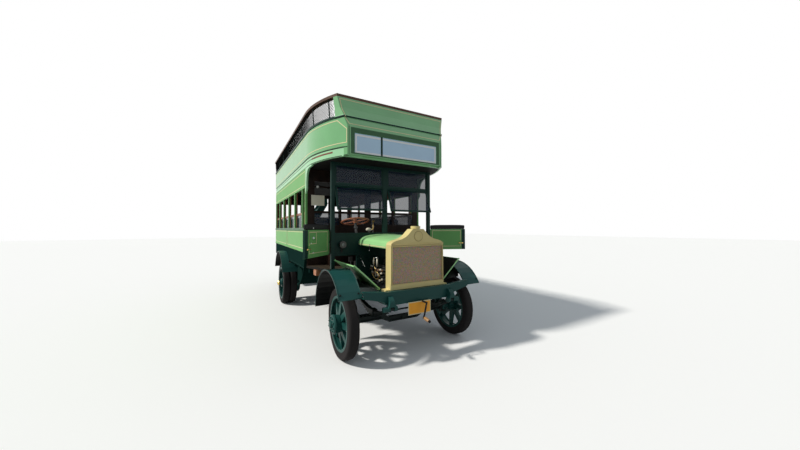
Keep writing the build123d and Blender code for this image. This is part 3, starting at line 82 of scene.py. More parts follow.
def relief(tree, shader, height, strength, distance=0.004):
    """Bumps from a height, with distance in metres."""
    bump = tree.nodes.new("ShaderNodeBump")
    bump.inputs["Strength"].default_value = strength
    bump.inputs["Distance"].default_value = distance
    tree.links.new(height, bump.inputs["Height"])
    tree.links.new(bump.outputs["Normal"], shader.inputs["Normal"])


def cloud(tree, scale, detail=4, stretch=(1, 1, 1)):
    """Noise over the object's own coordinates."""
    coords = tree.nodes.new("ShaderNodeTexCoord")
    mapping = tree.nodes.new("ShaderNodeMapping")
    mapping.inputs["Scale"].default_value = stretch
    noise = tree.nodes.new("ShaderNodeTexNoise")
    noise.inputs["Scale"].default_value = scale
    noise.inputs["Detail"].default_value = detail
    tree.links.new(coords.outputs["Object"], mapping.inputs["Vector"])
    tree.links.new(mapping.outputs["Vector"], noise.inputs["Vector"])
    return noise.outputs["Fac"]


def paint(name, color, rough=0.35, metal=0.0, coat=0.0, specular=0.5, vary=0.05, bump=0.0, grain=60.0):
    """A paint or plain finish with a little cloudiness, and fine grain when bump is set."""
    m, tree, shader = new_material(name, rough, metal, coat, specular)
    shader.inputs["Base Color"].default_value = (*color, 1)
    if vary:
        low, high = [c * (1 - vary) for c in color], [min(1, c * (1 + vary)) for c in color]
        tinted = ramp_of(tree, cloud(tree, 3.0), [(0.3, low), (0.7, high)])
        tree.links.new(tinted, shader.inputs["Base Color"])
    if bump:
        relief(tree, shader, cloud(tree, grain, 2), bump)
    return m


def shaded_underside_paint(name, color, under, centre, radius):
    """A paint outside a radius about a line along X at (y, z), in mm, and a near black one inside it:
    painted shade, with some dirt, on the undersides of the mudguards.
    """
    m, tree, shader = new_material(name, 0.36, specular=0.15)
    middle = place((0, *centre))
    coords = tree.nodes.new("ShaderNodeTexCoord")
    flat = tree.nodes.new("ShaderNodeMapping")
    flat.inputs["Location"].default_value = (0, -middle.y, -middle.z)
    flat.inputs["Scale"].default_value = (0, 1, 1)
    reach = tree.nodes.new("ShaderNodeVectorMath")
    reach.operation = "LENGTH"
    outside = tree.nodes.new("ShaderNodeMath")
    outside.operation = "GREATER_THAN"
    outside.inputs[1].default_value = radius / 1000
    tree.links.new(coords.outputs["Object"], flat.inputs["Vector"])
    tree.links.new(flat.outputs["Vector"], reach.inputs[0])
    tree.links.new(reach.outputs["Value"], outside.inputs[0])
    shade = ramp_of(tree, outside.outputs["Value"], [(0.2, under), (0.8, color)])
    tree.links.new(shade, shader.inputs["Base Color"])
    return m


def wood(name, dark, light, stretch=(1, 0.3, 1), scale=12.0, rough=0.4, specular=0.4):
    """Varnished wood with drawn-out grain."""
    m, tree, shader = new_material(name, rough, specular=specular)
    grain = ramp_of(tree, cloud(tree, scale, 6, stretch), [(0.35, dark), (0.68, light)])
    tree.links.new(grain, shader.inputs["Base Color"])
    return m


def planks(name, one, other, gap, shade_below):
    """Boards along the bus, 110 mm wide, on faces that point up, and one dark colour on all other faces:
    painted shade under the floor.
    """
    m, tree, shader = new_material(name, 0.65, specular=0.1)
    coords = tree.nodes.new("ShaderNodeTexCoord")
    turned = tree.nodes.new("ShaderNodeMapping")
    turned.inputs["Rotation"].default_value = (0, 0, pi / 2)
    bricks = tree.nodes.new("ShaderNodeTexBrick")
    for key, value in (("Scale", 1.0), ("Mortar Size", 0.004), ("Brick Width", 2.3), ("Row Height", 0.11)):
        bricks.inputs[key].default_value = value
    for key, color in (("Color1", one), ("Color2", other), ("Mortar", gap)):
        bricks.inputs[key].default_value = (*color, 1)
    facing = tree.nodes.new("ShaderNodeNewGeometry")
    parts = tree.nodes.new("ShaderNodeSeparateXYZ")
    up = tree.nodes.new("ShaderNodeMath")
    up.operation = "GREATER_THAN"
    up.inputs[1].default_value = 0.5
    mix = tree.nodes.new("ShaderNodeMixRGB")
    mix.inputs["Color1"].default_value = (*shade_below, 1)
    tree.links.new(coords.outputs["Object"], turned.inputs["Vector"])
    tree.links.new(turned.outputs["Vector"], bricks.inputs["Vector"])
    tree.links.new(facing.outputs["Normal"], parts.inputs["Vector"])
    tree.links.new(parts.outputs["Z"], up.inputs[0])
    tree.links.new(up.outputs["Value"], mix.inputs["Fac"])
    tree.links.new(bricks.outputs["Color"], mix.inputs["Color2"])
    tree.links.new(mix.outputs["Color"], shader.inputs["Base Color"])
    return m


def clear_glass(name, tint_and_painted_sky, rough, alpha, specular):
    """Thin glass that lets light through and reflects."""
    m, tree, shader = new_material(name, rough, specular=specular)
    shader.inputs["Base Color"].default_value = (*tint_and_painted_sky, 1)
    shader.inputs["Alpha"].default_value = alpha
    return m


def honeycomb():
    """A dull brown radiator core of small cells."""
    m, tree, shader = new_material("radiator_core", 0.6, 0.1)
    coords = tree.nodes.new("ShaderNodeTexCoord")
    cells = tree.nodes.new("ShaderNodeTexVoronoi")
    cells.inputs["Scale"].default_value = 105
    cells.inputs["Randomness"].default_value = 0.3
    tree.links.new(coords.outputs["Object"], cells.inputs["Vector"])
    stops = [(0.15, (0.10, 0.065, 0.042)), (0.6, (0.44, 0.33, 0.22))]
    speckle = tree.nodes.new("ShaderNodeMixRGB")
    speckle.blend_type = "OVERLAY"
    speckle.inputs["Fac"].default_value = 0.45
    tree.links.new(ramp_of(tree, cells.outputs["Distance"], stops), speckle.inputs["Color1"])
    tree.links.new(cells.outputs["Color"], speckle.inputs["Color2"])
    tree.links.new(speckle.outputs["Color"], shader.inputs["Base Color"])
    relief(tree, shader, cells.outputs["Distance"], 0.6)
    return m


# the mudguards' arcs, about points given as (y, z)
guard_centre, guard_radius = (75, 580), 600
rear_guard_centre, rear_guard_radius = (3527, 530), 680

body_green = paint("body_green", (0.24, 0.55, 0.26), 0.32)
panel_green = paint("panel_green", (0.192, 0.495, 0.208), 0.28, coat=0.25, specular=0.35)
side_green = paint("side_green", (0.19, 0.46, 0.155), 0.40, specular=0.05)
cornice_green = paint("cornice_green", (0.38, 0.74, 0.42), 0.32)
hood_green = paint("hood_green", (0.36, 0.72, 0.30), 0.30)
highlight_green = paint("highlight_green", (0.36, 0.68, 0.40), 0.35, vary=0)
teal = paint("chassis_teal", (0.013, 0.070, 0.062), 0.36, specular=0.15)
near_black = (0.006, 0.007, 0.007)
# the mudguards' undersides, inside the arc, get painted shade with some dirt
guard_teal = shaded_underside_paint("mudguard_teal", (0.014, 0.075, 0.070), near_black, guard_centre, guard_radius - 3)
rear_teal = shaded_underside_paint(
    "rear_mudguard_teal", (0.014, 0.065, 0.058), near_black, rear_guard_centre, rear_guard_radius - 3,
)
rocker_teal = paint("rocker_teal", (0.008, 0.027, 0.023), 0.75, specular=0.0)
dark_green = paint("dark_green", (0.008, 0.035, 0.028), 0.36, specular=0.12)
tan = paint("tan_casting", (0.74, 0.62, 0.28), 0.42, specular=0.3, bump=0.12, grain=240)
rubber = paint("tyre_rubber", (0.024, 0.022, 0.022), 0.8, specular=0.1, bump=0.35, grain=140)
iron = paint("engine_iron", (0.060, 0.062, 0.058), 0.55, 0.3, specular=0.2, bump=0.3, grain=160)
steel = paint("bright_steel", (0.55, 0.55, 0.54), 0.28, 1.0)
dark_steel = paint("dark_steel", (0.07, 0.07, 0.068), 0.40, 0.6, specular=0.2)
brass = paint("brass", (0.72, 0.50, 0.18), 0.30, 1.0)
cream = paint("cream_line", (0.80, 0.70, 0.40), 0.45, vary=0)
white = paint("white_line", (0.97, 0.98, 1.0), 0.5, vary=0)
ivory = paint("ivory", (0.78, 0.72, 0.58), 0.4, vary=0.03)
notice = paint("notice_card", (0.95, 0.86, 0.70), 0.6, vary=0.04)
step_wood = wood("step_wood", (0.34, 0.12, 0.055), (0.50, 0.21, 0.10), scale=14)
# near black for the springs, axles and track rod: their own dirty black and painted shade where the wheels
# and mudguards shade them; also used for the mudguard bolts
under_black = paint("running_gear_black_and_shade", (0.007, 0.013, 0.012), 0.45, specular=0.12)
sign_green = paint("sign_green", (0.050, 0.135, 0.062), 0.4, specular=0.2)
tan_shade = paint("tan_shade", (0.40, 0.31, 0.14), 0.5, specular=0.2, vary=0)
black = paint("black_enamel_and_painted_shadow", (0.008, 0.008, 0.009), 0.35, specular=0.15, vary=0)
satin = paint("satin_lining", (0.010, 0.011, 0.009), 0.55, specular=0.06, vary=0.1)
leather = paint("black_leather", (0.012, 0.012, 0.013), 0.5, specular=0.15, bump=0.4, grain=420)
slate = paint("slate_board", (0.56, 0.77, 0.98), 0.5, vary=0.04)
dark_wire = paint("dark_wire", near_black, 0.6, specular=0.0, vary=0)
orange = paint("plate_orange", (1.0, 0.42, 0.02), 0.45, vary=0.03)
rust = paint("brown_casting", (0.22, 0.12, 0.065), 0.6, specular=0.2, bump=0.2, grain=160)
red_brown = wood("red_brown_wood", (0.15, 0.042, 0.018), (0.28, 0.09, 0.038), scale=14)
wheel_wood = wood("wheel_wood", (0.24, 0.075, 0.035), (0.42, 0.15, 0.07), scale=14)
dark_wood = wood("dark_wood", (0.012, 0.007, 0.005), (0.028, 0.015, 0.011), scale=10, specular=0.1)
rail_brown = wood("rail_wood", (0.075, 0.036, 0.021), (0.13, 0.066, 0.040), scale=10, specular=0.2)
seat_oak = wood("seat_oak", (0.26, 0.13, 0.05), (0.46, 0.26, 0.11), (0.3, 1, 1), 14)
# the last colour of each floor is the painted shade on its faces that do not point up
deck_boards = planks(
    "deck_boards", (0.34, 0.27, 0.18), (0.28, 0.22, 0.15), (0.05, 0.04, 0.03), (0.008, 0.008, 0.007),
)
floor_boards = planks(
    "floor_boards", (0.055, 0.042, 0.028), (0.045, 0.034, 0.023), (0.012, 0.009, 0.006),
    (0.012, 0.010, 0.008),
)
# the blue in the glass's colour is painted reflection of sky
glass = clear_glass("window_glass", (0.016, 0.034, 0.062), 0.03, 0.52, 0.25)
lens = paint("lamp_lens", (0.16, 0.17, 0.17), 0.08, vary=0)
core = honeycomb()

# the finish of each CAD node
looks = {
    "chassis_frame": teal, "leaf_springs": under_black, "front_axle": under_black, "rear_axle": under_black,
    "engine_and_gearbox": iron, "engine_fittings": iron, "track_rod": under_black, "starting_crank": black,
    "radiator_shell": tan, "radiator_core": core, "bonnet_top": hood_green, "dash_panel": dark_green,
    "dash_lamp": black, "cab_front_frame": dark_green, "window_glass": glass, "cab_controls": dark_steel,
    "steering_wheel": wheel_wood, "front_fenders": guard_teal, "rear_fenders": rear_teal,
    "rocker_panels": rocker_teal, "floor_bearers": rocker_teal, "lower_floor": floor_boards,
    "cab_steps": step_wood, "saloon_sides": side_green, "window_frames": red_brown, "bulkheads": dark_wood,
    "saloon_seats": red_brown, "seat_cushions": leather, "driver_seat": dark_wood,
    "cornice": cornice_green, "upper_floor": deck_boards, "upper_panels": panel_green,
    "belt_and_guard_posts": dark_green, "front_fascia": body_green, "sign_box": body_green,
    "top_rail": rail_brown, "upper_seats": seat_oak, "platform_and_stairs": teal,
    "platform_panels": body_green,
}
for hand in ("left", "right"):
    looks.update({
        "knuckle_" + hand: teal, "front_wheel_" + hand: teal, "rear_wheel_" + hand: teal,
        "front_tyre_" + hand: rubber, "rear_tyres_" + hand: rubber, "cab_door_" + hand: side_green,
        "door_pad_" + hand: leather, "bonnet_side_" + hand: hood_green,
    })
for name, finish in looks.items():
    data = nodes[name].data
    data.materials.clear()
    data.materials.append(finish)


# Making meshes

def mesh_piece(name, verts, faces, finish, body=ROOT, smooth=False):
    """A mesh from points in mm, on a CAD body."""
    data = bpy.data.meshes.new(name)
    data.from_pydata([place(v) for v in verts], [], faces)
    data.materials.append(finish)
    data.polygons.foreach_set("use_smooth", [smooth] * len(data.polygons))
    data.update()
    obj = bpy.data.objects.new(name, data)
    bpy.context.scene.collection.objects.link(obj)
    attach(obj, body)
    return obj


def ribbons(name, lines, width, finish, lift=1.5, thick=1.2, body=ROOT):
    """Painted lines as thin strips. Each line is (points, normals off the surface, closed)."""
    verts, faces = [], []
    for points, normals, closed in lines:
        pts = [Vector(p) for p in points]
        nrm = [Vector(n).normalized() for n in normals]
        count = len(pts)
        base = len(verts)
        for i in range(count):
            before = pts[i - 1] if (closed or i > 0) else pts[i]
            after = pts[(i + 1) % count] if (closed or i < count - 1) else pts[i]
            into = (pts[i] - before).normalized() if before != pts[i] else (after - pts[i]).normalized()
            out = (after - pts[i]).normalized() if after != pts[i] else into
            along = (into + out).normalized()
            side = along.cross(nrm[i]).normalized()
            half = side * (width / 2 / max(0.35, abs(into.dot(along))))
            top, low = pts[i] + nrm[i] * lift, pts[i] + nrm[i] * (lift - thick)
            verts += [top - half, top + half, low + half, low - half]
        for i in range(count if closed else count - 1):
            a, b = base + 4 * i, base + 4 * ((i + 1) % count)
            for j in range(4):
                k = (j + 1) % 4
                faces.append((a + j, b + j, b + k, a + k))
    return mesh_piece(name, verts, faces, finish, body)


def frame_line(corners, normal):
    """A closed painted outline on a flat panel."""
    return corners, [normal] * len(corners), True


def open_line(points, normal):
    """A painted line with two ends on a flat panel."""
    return points, [normal] * len(points), False


def rings(verts, faces, centres, radius, sides, closed=False):
    """Adds a round bar along a line of points."""
    pts = [Vector(p) for p in centres]
    base, count = len(verts), len(pts)
    for i, p in enumerate(pts):
        before = pts[i - 1] if closed else pts[max(0, i - 1)]
        after = pts[(i + 1) % count] if closed else pts[min(count - 1, i + 1)]
        along = (after - before).normalized()
        guide = Vector((0, 0, 1)) if abs(along.z) < 0.9 else Vector((0, 1, 0))
        u = along.cross(guide).normalized()
        v = along.cross(u)
        for j in range(sides):
            turn = 2 * pi * j / sides
            verts.append(p + (u * cos(turn) + v * sin(turn)) * radius)
    for i in range(count if closed else count - 1):
        a, b = base + i * sides, base + (i + 1) % count * sides
        for j in range(sides):
            k = (j + 1) % sides
            faces.append((a + j, a + k, b + k, b + j))
    if not closed:
        faces.append(tuple(range(base + sides - 1, base - 1, -1)))
        end = base + (count - 1) * sides
        faces.append(tuple(range(end, end + sides)))


def tubes(name, lines, radius, finish, sides=6, body=ROOT, smooth=True):
    """Round bars along lines of points in mm."""
    verts, faces = [], []
    for points in lines:
        rings(verts, faces, points, radius, sides)
    return mesh_piece(name, verts, faces, finish, body, smooth)


def turned(name, spots, profile, finish, body=ROOT, sides=12):
    """Turned forms. Each spot is (point, outward direction); the profile is (distance out, radius)."""
    verts, faces = [], []
    for point, out in spots:
        p, n = Vector(point), Vector(out).normalized()
        guide = Vector((0, 0, 1)) if abs(n.z) < 0.9 else Vector((0, 1, 0))
        u = n.cross(guide).normalized()
        v = n.cross(u)
        base = len(verts)
        for rise, radius in profile:
            for j in range(sides):
                turn = 2 * pi * j / sides
                verts.append(p + (u * cos(turn) + v * sin(turn)) * radius + n * rise)
        for ring in range(len(profile) - 1):
            for j in range(sides):
                a, b = base + ring * sides, base + (ring + 1) * sides
                k = (j + 1) % sides
                faces.append((a + j, b + j, b + k, a + k))
        faces.append(tuple(range(base, base + sides)))
        end = base + (len(profile) - 1) * sides
        faces.append(tuple(range(end + sides - 1, end - 1, -1)))
    return mesh_piece(name, verts, faces, finish, body, True)


def domes(name, spots, radius, height, finish, body=ROOT, sides=8):
    """Round bolt or rivet heads."""
    shares = ((0, 1), (0.55, 0.92), (0.92, 0.55), (1, 0.1))
    profile = [(height * rise, radius * width) for rise, width in shares]
    return turned(name, spots, profile, finish, body, sides)


def blocks(name, boxes, finish, body=ROOT, bevel=0.0, moved=None):
    """Boxes, each ((x0, x1), (y0, y1), (z0, z1)) in mm, with their corners taken through moved."""
    verts, faces = [], []
    for xs, ys, zs in boxes:
        base = len(verts)
        corners = [(x, y, z) for x in xs for y in ys for z in zs]
        verts += [moved(*c) for c in corners] if moved else corners
        for quad in ((0, 1, 3, 2), (4, 6, 7, 5), (0, 4, 5, 1), (2, 3, 7, 6), (0, 2, 6, 4), (1, 5, 7, 3)):
            faces.append(tuple(base + i for i in quad))
    obj = mesh_piece(name, verts, faces, finish, body)
    if bevel:
        mod = obj.modifiers.new("edge", "BEVEL")
        mod.width = bevel / 1000
        mod.segments = 2
    return obj


def flip(points):
    """The mirror image of points on the other side of the bus."""
    return [(-p[0], *p[1:]) for p in points]


def both_sides(lines):
    """Painted lines and their mirror images."""
    return [pair for p, n, closed in lines for pair in ((p, n, closed), (flip(p), flip(n), closed))]


def on_both(boxes):
    """Boxes and their mirror images."""
    return [pair for xs, ys, zs in boxes for pair in ((xs, ys, zs), ((-xs[1], -xs[0]), ys, zs))]


# The deck's plan outline

deck_side, deck_radius, deck_turn, deck_front, rear = 1160, 2000, 1200, 155, 5377


def side_curve(inset, z, y_from, y_to, steps=20):
    """Points and normals along the left side, from y_from back to y_to."""
    radius, centre = deck_radius - inset, deck_side - deck_radius
    points, normals = [], []
    if y_from < deck_turn:
        for i in range(steps + 1):
            y = y_from + (min(deck_turn, y_to) - y_from) * i / steps
            t = asin((deck_turn - y) / radius)
            points.append((centre + radius * cos(t), y, z))
            normals.append((cos(t), -sin(t), 0))
    else:
        points.append((deck_side - inset, y_from, z))
        normals.append((1, 0, 0))
    if y_to > deck_turn:
        points.append((deck_side - inset, y_to, z))
        normals.append((1, 0, 0))
    return points, normals


def front_curve(inset, z, y_to):
    """Points and normals from y_to on the right side, around the front, to y_to on the left side."""
    side, out = side_curve(inset, z, deck_front + inset, y_to, 8)
    corner = side[0]
    left = [(corner[0] * 0.999, *corner[1:])] + side
    out = [(0, -1, 0)] + out
    return flip(left)[::-1] + left, flip(out)[::-1] + out, False


# Painted lines on the upper deck: the outline has its front upper corner cut off
line_low, cut_low, line_high = 2948, 3141, 3284
line_front, cut_back, line_rear = 111, 262, rear - 60
cut_steps = 6
up, up_n = side_curve(0, line_high, cut_back, line_rear)
down, down_n = side_curve(0, line_low, line_front, line_rear)
clip, clip_n = side_curve(0, cut_low, line_front, cut_back, cut_steps)
clip = [(x, y, z + (line_high - cut_low) * i / cut_steps) for i, (x, y, z) in enumerate(clip)]
outline = (up + down[::-1] + clip[:-1], up_n + down_n[::-1] + clip_n[:-1], True)
ribbons("upper_panel_lines", both_sides([outline]), 11, cream)
# the row at 2886, just under the ledge of the upper panels, is painted shadow
# columns: height, y from, width
cornice_rows = [(2886, 103, 12), (2842, 930, 10), (2769, 200, 9)]
for z, y_from, width in cornice_rows:
    points, normals = side_curve(10, z, y_from, rear)
    ribbons("cornice_line_%d" % z, both_sides([(points, normals, False)]), width, black)
vent, vent_n = side_curve(10, 2842, 360, 930, 8)
ribbons("cornice_vent", both_sides([(vent, vent_n, False)]), 24, red_brown, 2.0)

# The loop on the fascia and the panel below it, which crosses the belt
low_n, high_n, plain_n = (0, -0.929, 0.370), (0, -0.990, 0.143), (0, -1, 0)
half_loop = [(848, 160, 3358), (878, 199, 3450), (905, 225.7, 3600)]
upper_loop = flip(half_loop) + half_loop[::-1]
upper_n = [low_n, low_n, high_n, high_n, low_n, low_n]
slope_n = (0, -0.933, 0.360)
lower_loop = [(-850, 153, 3320), (-797, 115, 3221), (797, 115, 3221), (850, 153, 3320)]
crossing = [(846, 142, 3324), (847, 142, 3341)]
ribbons("front_lines", [
    (upper_loop, upper_n, False), open_line(lower_loop, slope_n), open_line(crossing, plain_n),
    open_line(flip(crossing), plain_n),
], 11, cream)
# a light green strip along the top edge of the belt: a painted highlight
ribbons("belt_highlight_strip", [front_curve(-12, 3345, 300)], 9, highlight_green, 1.0, 6.0)
ribbons("belt_shadow_line", [front_curve(0, 3320, 300)], 7, black, 1.0)

# The corners between the sign and the side panels, cut to the sign's sloping top
sign_front, top_rise = 101, 140
corner_inner, corner_low, corner_high = 800, 2764, 3185
verts, faces = [], []
for side in (-1, 1):
    base = len(verts)
    arc = side_curve(0, 0, sign_front, deck_front, 4)[0]
    plan = [(corner_inner, sign_front)] + [(x, y) for x, y, _ in arc] + [(corner_inner, deck_front + 2)]
    verts += [(side * x, y, corner_low) for x, y in plan]
    rises = [(y - sign_front) * top_rise / (deck_front - sign_front) for _, y in plan]
    verts += [(side * x, y, corner_high + rise) for (x, y), rise in zip(plan, rises)]
    count = len(plan)
    for i in range(count):
        k = (i + 1) % count
        faces.append((base + i, base + k, base + count + k, base + count + i))
    faces += [tuple(range(base, base + count)), tuple(range(base + 2 * count - 1, base + count - 1, -1))]
mesh_piece("sign_corners", verts, faces, panel_green)
# the line at 2886 is the painted shadow under the ledge, carried round the corners
edges = [(*side_curve(0, z, sign_front + 0.5, deck_front + 2, 5), False) for z in (2886, 2769)]
ribbons("sign_corner_lines", both_sides(edges), 11, black, 1.5)

# The blank sign: a dark frame, a slate board and a white border
frame_half, board_half = 778, 722
frame_low, board_low, board_high, frame_high = 2795, 2813, 3099, 3172
board_y, border_gap, joint_x = 107, 22, -292
rim = (98.5, sign_front)
blocks("sign_frame", [
    ((-frame_half, frame_half), rim, (board_high, frame_high)),
    ((-frame_half, frame_half), rim, (frame_low, board_low)),
    ((-frame_half, -board_half), rim, (board_low, board_high)),
    ((board_half, frame_half), rim, (board_low, board_high)),
], sign_green)
blocks("sign_face", [
    ((1 - board_half, board_half - 1), (board_y, board_y + 4), (board_low + 1, board_high - 1)),
], slate)
reach = board_half - border_gap
border = [(-reach, 3071), (reach, 3071), (reach, 2829), (-reach, 2829)]
ribbons("sign_border", [frame_line([(x, board_y, z) for x, z in border], plain_n)], 26, white)
joint = [(joint_x, board_y, z) for z in (board_low + 1, board_high - 1)]
ribbons("sign_joint", [open_line(joint, plain_n)], 32, dark_green, 2.2)

# Painted lines, bands and rivets on the lower body
side_x, right_n = 1154, (1, 0, 0)


def side_frame(y_from, y_to, z_from, z_to):
    """A painted outline on the left side."""
    corners = ((y_from, z_to), (y_to, z_to), (y_to, z_from), (y_from, z_from))
    return frame_line([(side_x, y, z) for y, z in corners], right_n)


# columns: y from, y to, z from, z to
panels = [(1365, 3215, 1385, 1672), (3365, 5280, 1385, 1672), (1350, 5337, 2480, 2716)]
ribbons("side_lines", both_sides([side_frame(*panel) for panel in panels]), 10, cream)
seam = open_line([(side_x, 3290, 1345), (side_x, 3290, 1700)], right_n)
ribbons("side_seam", both_sides([seam]), 9, dark_green)
blocks("sill_bands", on_both([((1153, 1166), (1308, rear), (1700, 1745))]), sign_green)
blocks("door_jambs", on_both([((1118, 1160), (1303, 1308), (1300, 1790))]), dark_green)
# columns: height, y from, y to
rows = [(1308, 1480, 5360), (1055, 1480, 2870), (1055, 4190, 5360)]
rivet_x, rivet_pitch = 1148, 95
rivets = []
for z, y_from, y_to in rows:
    for y in range(y_from, y_to, rivet_pitch):
        rivets += [((s * rivet_x, y, z), (s, 0, 0)) for s in (-1, 1)]
domes("sill_rivets", rivets, 7, 5, teal)

# A dark box slung under the right side behind the apron, put where there is only shade under the body:
# painted shade
blocks("underside_shade_box", [((-1085, -880), (1935, 2360), (700, 980))], rocker_teal, bevel=6)


# Guard netting over the deck's sides

def netting():
    """Crossing wires between the belt and the top rail."""
    wires = []
    low = side_curve(8, 3352, 300, rear, 40)[0]
    high = side_curve(-16, 3632, 300, rear, 40)[0]
    length = [0.0]
    for a, b in zip(low, low[1:]):
        length.append(length[-1] + (Vector(b) - Vector(a)).length)

    def at(s, t):
        """The point s along the side and the share t of the way up."""
        s = max(0.0, min(length[-1], s))
        i = max(k for k in range(len(length) - 1) if length[k] <= s)
        u = (s - length[i]) / (length[i + 1] - length[i])
        a = Vector(low[i]).lerp(Vector(low[i + 1]), u)
        b = Vector(high[i]).lerp(Vector(high[i + 1]), u)
        return tuple(a.lerp(b, t))
    pitch, lean, steps = 42, 280, 4
    for i in range(int((length[-1] + lean) / pitch)):
        s = i * pitch - lean
        for sign, start in ((1, s), (-1, s + lean)):
            stops = [(start + sign * lean * k / steps, k / steps) for k in range(steps + 1)]
            wire = [at(here, t) for here, t in stops if -0.01 <= here <= length[-1]]
            if len(wire) > 1:
                wires.append(wire)
    return wires


net = netting()
tubes("guard_netting", net + [flip(w) for w in net], 3.6, dark_wire, 3)


# Cab doors: outlines, fittings and padded tops

door_pin = Vector((942, 634, 0))
door_closed = degrees(atan2(1308 - 634, 1154 - 942))
# columns: side, CAD body, degrees open, outlines as (reach from, reach to, z from, z to)
doors = [
    (1, "cab_door_left", 96, [(63, 603, 1395, 1685)]),
    (-1, "cab_door_right", 120, [(78, 589, 1395, 1685), (402, 589, 1524, 1680)]),
]


def door_axes(side, spread):
    """A door's directions along its length and off its front face, as it stands open."""
    turn = radians(door_closed - spread)
    return Vector((side * cos(turn), sin(turn), 0)), Vector((side * sin(turn), -cos(turn), 0))


def on_door(side, spread, reach, z, off=16):
    """A point on an open door: how far along it, how high, and how far off its middle."""
    along, out = door_axes(side, spread)
    return Vector((side * door_pin.x, door_pin.y, z)) + along * reach + out * off


strip_reach, end_reach, door_low, door_high = 657, 690, 1337, 1711
catch_z = 1453
for side, body, spread, outlines in doors:
    along, out = door_axes(side, spread)
    drawn = []
    for a, b, low, high in outlines:
        corners = ((a, high), (b, high), (b, low), (a, low))
        drawn.append(frame_line([on_door(side, spread, reach, z) for reach, z in corners], out))
    ribbons(body + "_lines", drawn, 9, cream, 1.6, 1.2, body)
    strips = []
    for off, normal in ((16.2, out), (-16.2, -out)):
        points = [on_door(side, spread, strip_reach, z, off) for z in (door_low, door_high)]
        strips.append(open_line(points, normal))
    ribbons(body + "_end_strip", strips, 66, dark_green, 1.5, 1.2, body)
    end_face = [on_door(side, spread, end_reach, z, 0) for z in (door_low, door_high)]
    ribbons(body + "_end_face", [open_line(end_face, along)], 33, dark_green, 1.5, 1.2, body)
    turned(body + "_handle", [(on_door(side, spread, 564, catch_z, 24), along)], [
        (0, 5), (6, 11), (30, 8), (60, 9), (82, 11), (88, 5),
    ], brass, body)
    studs = [(on_door(side, spread, reach, catch_z), out) for reach in (570, 646)]
    domes(body + "_studs", studs, 9, 9, brass, body)

# what only the right door has
side, body, spread = doors[1][:3]
out = door_axes(side, spread)[1]
domes("door_knob", [(on_door(side, spread, 489, 1603), out)], 17, 20, white, body)
domes("door_mark", [(on_door(side, spread, 539, 1533), out)], 9, 4, white, body)
bolts = [(on_door(side, spread, 489, z, off), out) for z, off in ((1737, 19), (1401, 16))]
domes("door_bolts", bolts, 11, 9, steel, body)


# Cushions

def pillow(verts, faces, centre, axes, half, edge, crown, seams, cells):
    """Adds a rounded pad, swollen towards its third axis, with sewn channels across the second."""
    made = {}
    spans = [[2 * i / n - 1 for i in range(n + 1)] for n in cells]

    def point(key):
        """The number of a point of the grid, made where it is new."""
        if key not in made:
            flat = [spans[k][key[k]] for k in range(3)]
            q = [flat[k] * half[k] for k in range(3)]
            inner = [max(edge - half[k], min(half[k] - edge, q[k])) for k in range(3)]
            d = Vector([q[k] - inner[k] for k in range(3)])
            d = d.normalized() * edge
            q = [inner[k] + d[k] for k in range(3)]
            open_a, open_b = 1 - flat[0] ** 4, 1 - flat[1] ** 4
            q[0] -= flat[0] * 0.25 * crown * (1 - flat[1] ** 2)
            q[1] -= flat[1] * 0.25 * crown * (1 - flat[0] ** 2)
            if flat[2] > 0:
                dip = sum(exp(-((flat[1] - s) * half[1] / 7) ** 2) for s in seams)
                q[2] += flat[2] * crown * (open_a * open_b * (1 - 0.8 * min(1, dip)) - 0.45)
            made[key] = len(verts)
            verts.append(Vector(centre) + sum((axes[k] * q[k] for k in range(3)), Vector()))
        return made[key]

    for k in range(3):
        i, j = (k + 1) % 3, (k + 2) % 3
        for end in (0, cells[k]):
            for a in range(cells[i]):
                for b in range(cells[j]):
                    quad = []
                    for da, db in ((0, 0), (1, 0), (1, 1), (0, 1)):
                        key = [0, 0, 0]
                        key[k], key[i], key[j] = end, a + da, b + db
                        quad.append(point(tuple(key)))
                    faces.append(tuple(quad if end else quad[::-1]))


def piping(verts, faces, centre, axes, half, edge, level):
    """Adds a cord of piping around a pad at one level of its third axis."""
    line = []
    a, b = half[0] - edge * 0.3, half[1] - edge * 0.3
    for turn in range(0, 360, 15):
        sx, sy = (1 if cos(radians(turn)) >= 0 else -1), (1 if sin(radians(turn)) >= 0 else -1)
        x = sx * (a - edge) + edge * cos(radians(turn))
        y = sy * (b - edge) + edge * sin(radians(turn))
        line.append(Vector(centre) + axes[0] * x + axes[1] * y + axes[2] * level)
    rings(verts, faces, line, 3.5, 6, True)


def pads(name, rows, body, replaced):
    """Pads in one piece, each (centre, axes, half sizes, edge, crown, seams, cells)."""
    verts, faces = [], []
    for centre, axes, half, edge, crown, seams, cells in rows:
        pillow(verts, faces, centre, axes, half, edge, crown, seams, cells)
        piping(verts, faces, centre, axes, half, edge, half[2] - edge * 0.6)
    obj = mesh_piece(name, verts, faces, leather, body, True)
    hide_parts(replaced)


X, Y, Z = Vector((1, 0, 0)), Vector((0, 1, 0)), Vector((0, 0, 1))
driver_seams = [-0.75, -0.5, -0.25, 0, 0.25, 0.5, 0.75]
bench_seams = [-0.5, 0, 0.5]
bench_x, bench_first_y, bench_pitch, bench_rows = 677, 1720, 640, 6
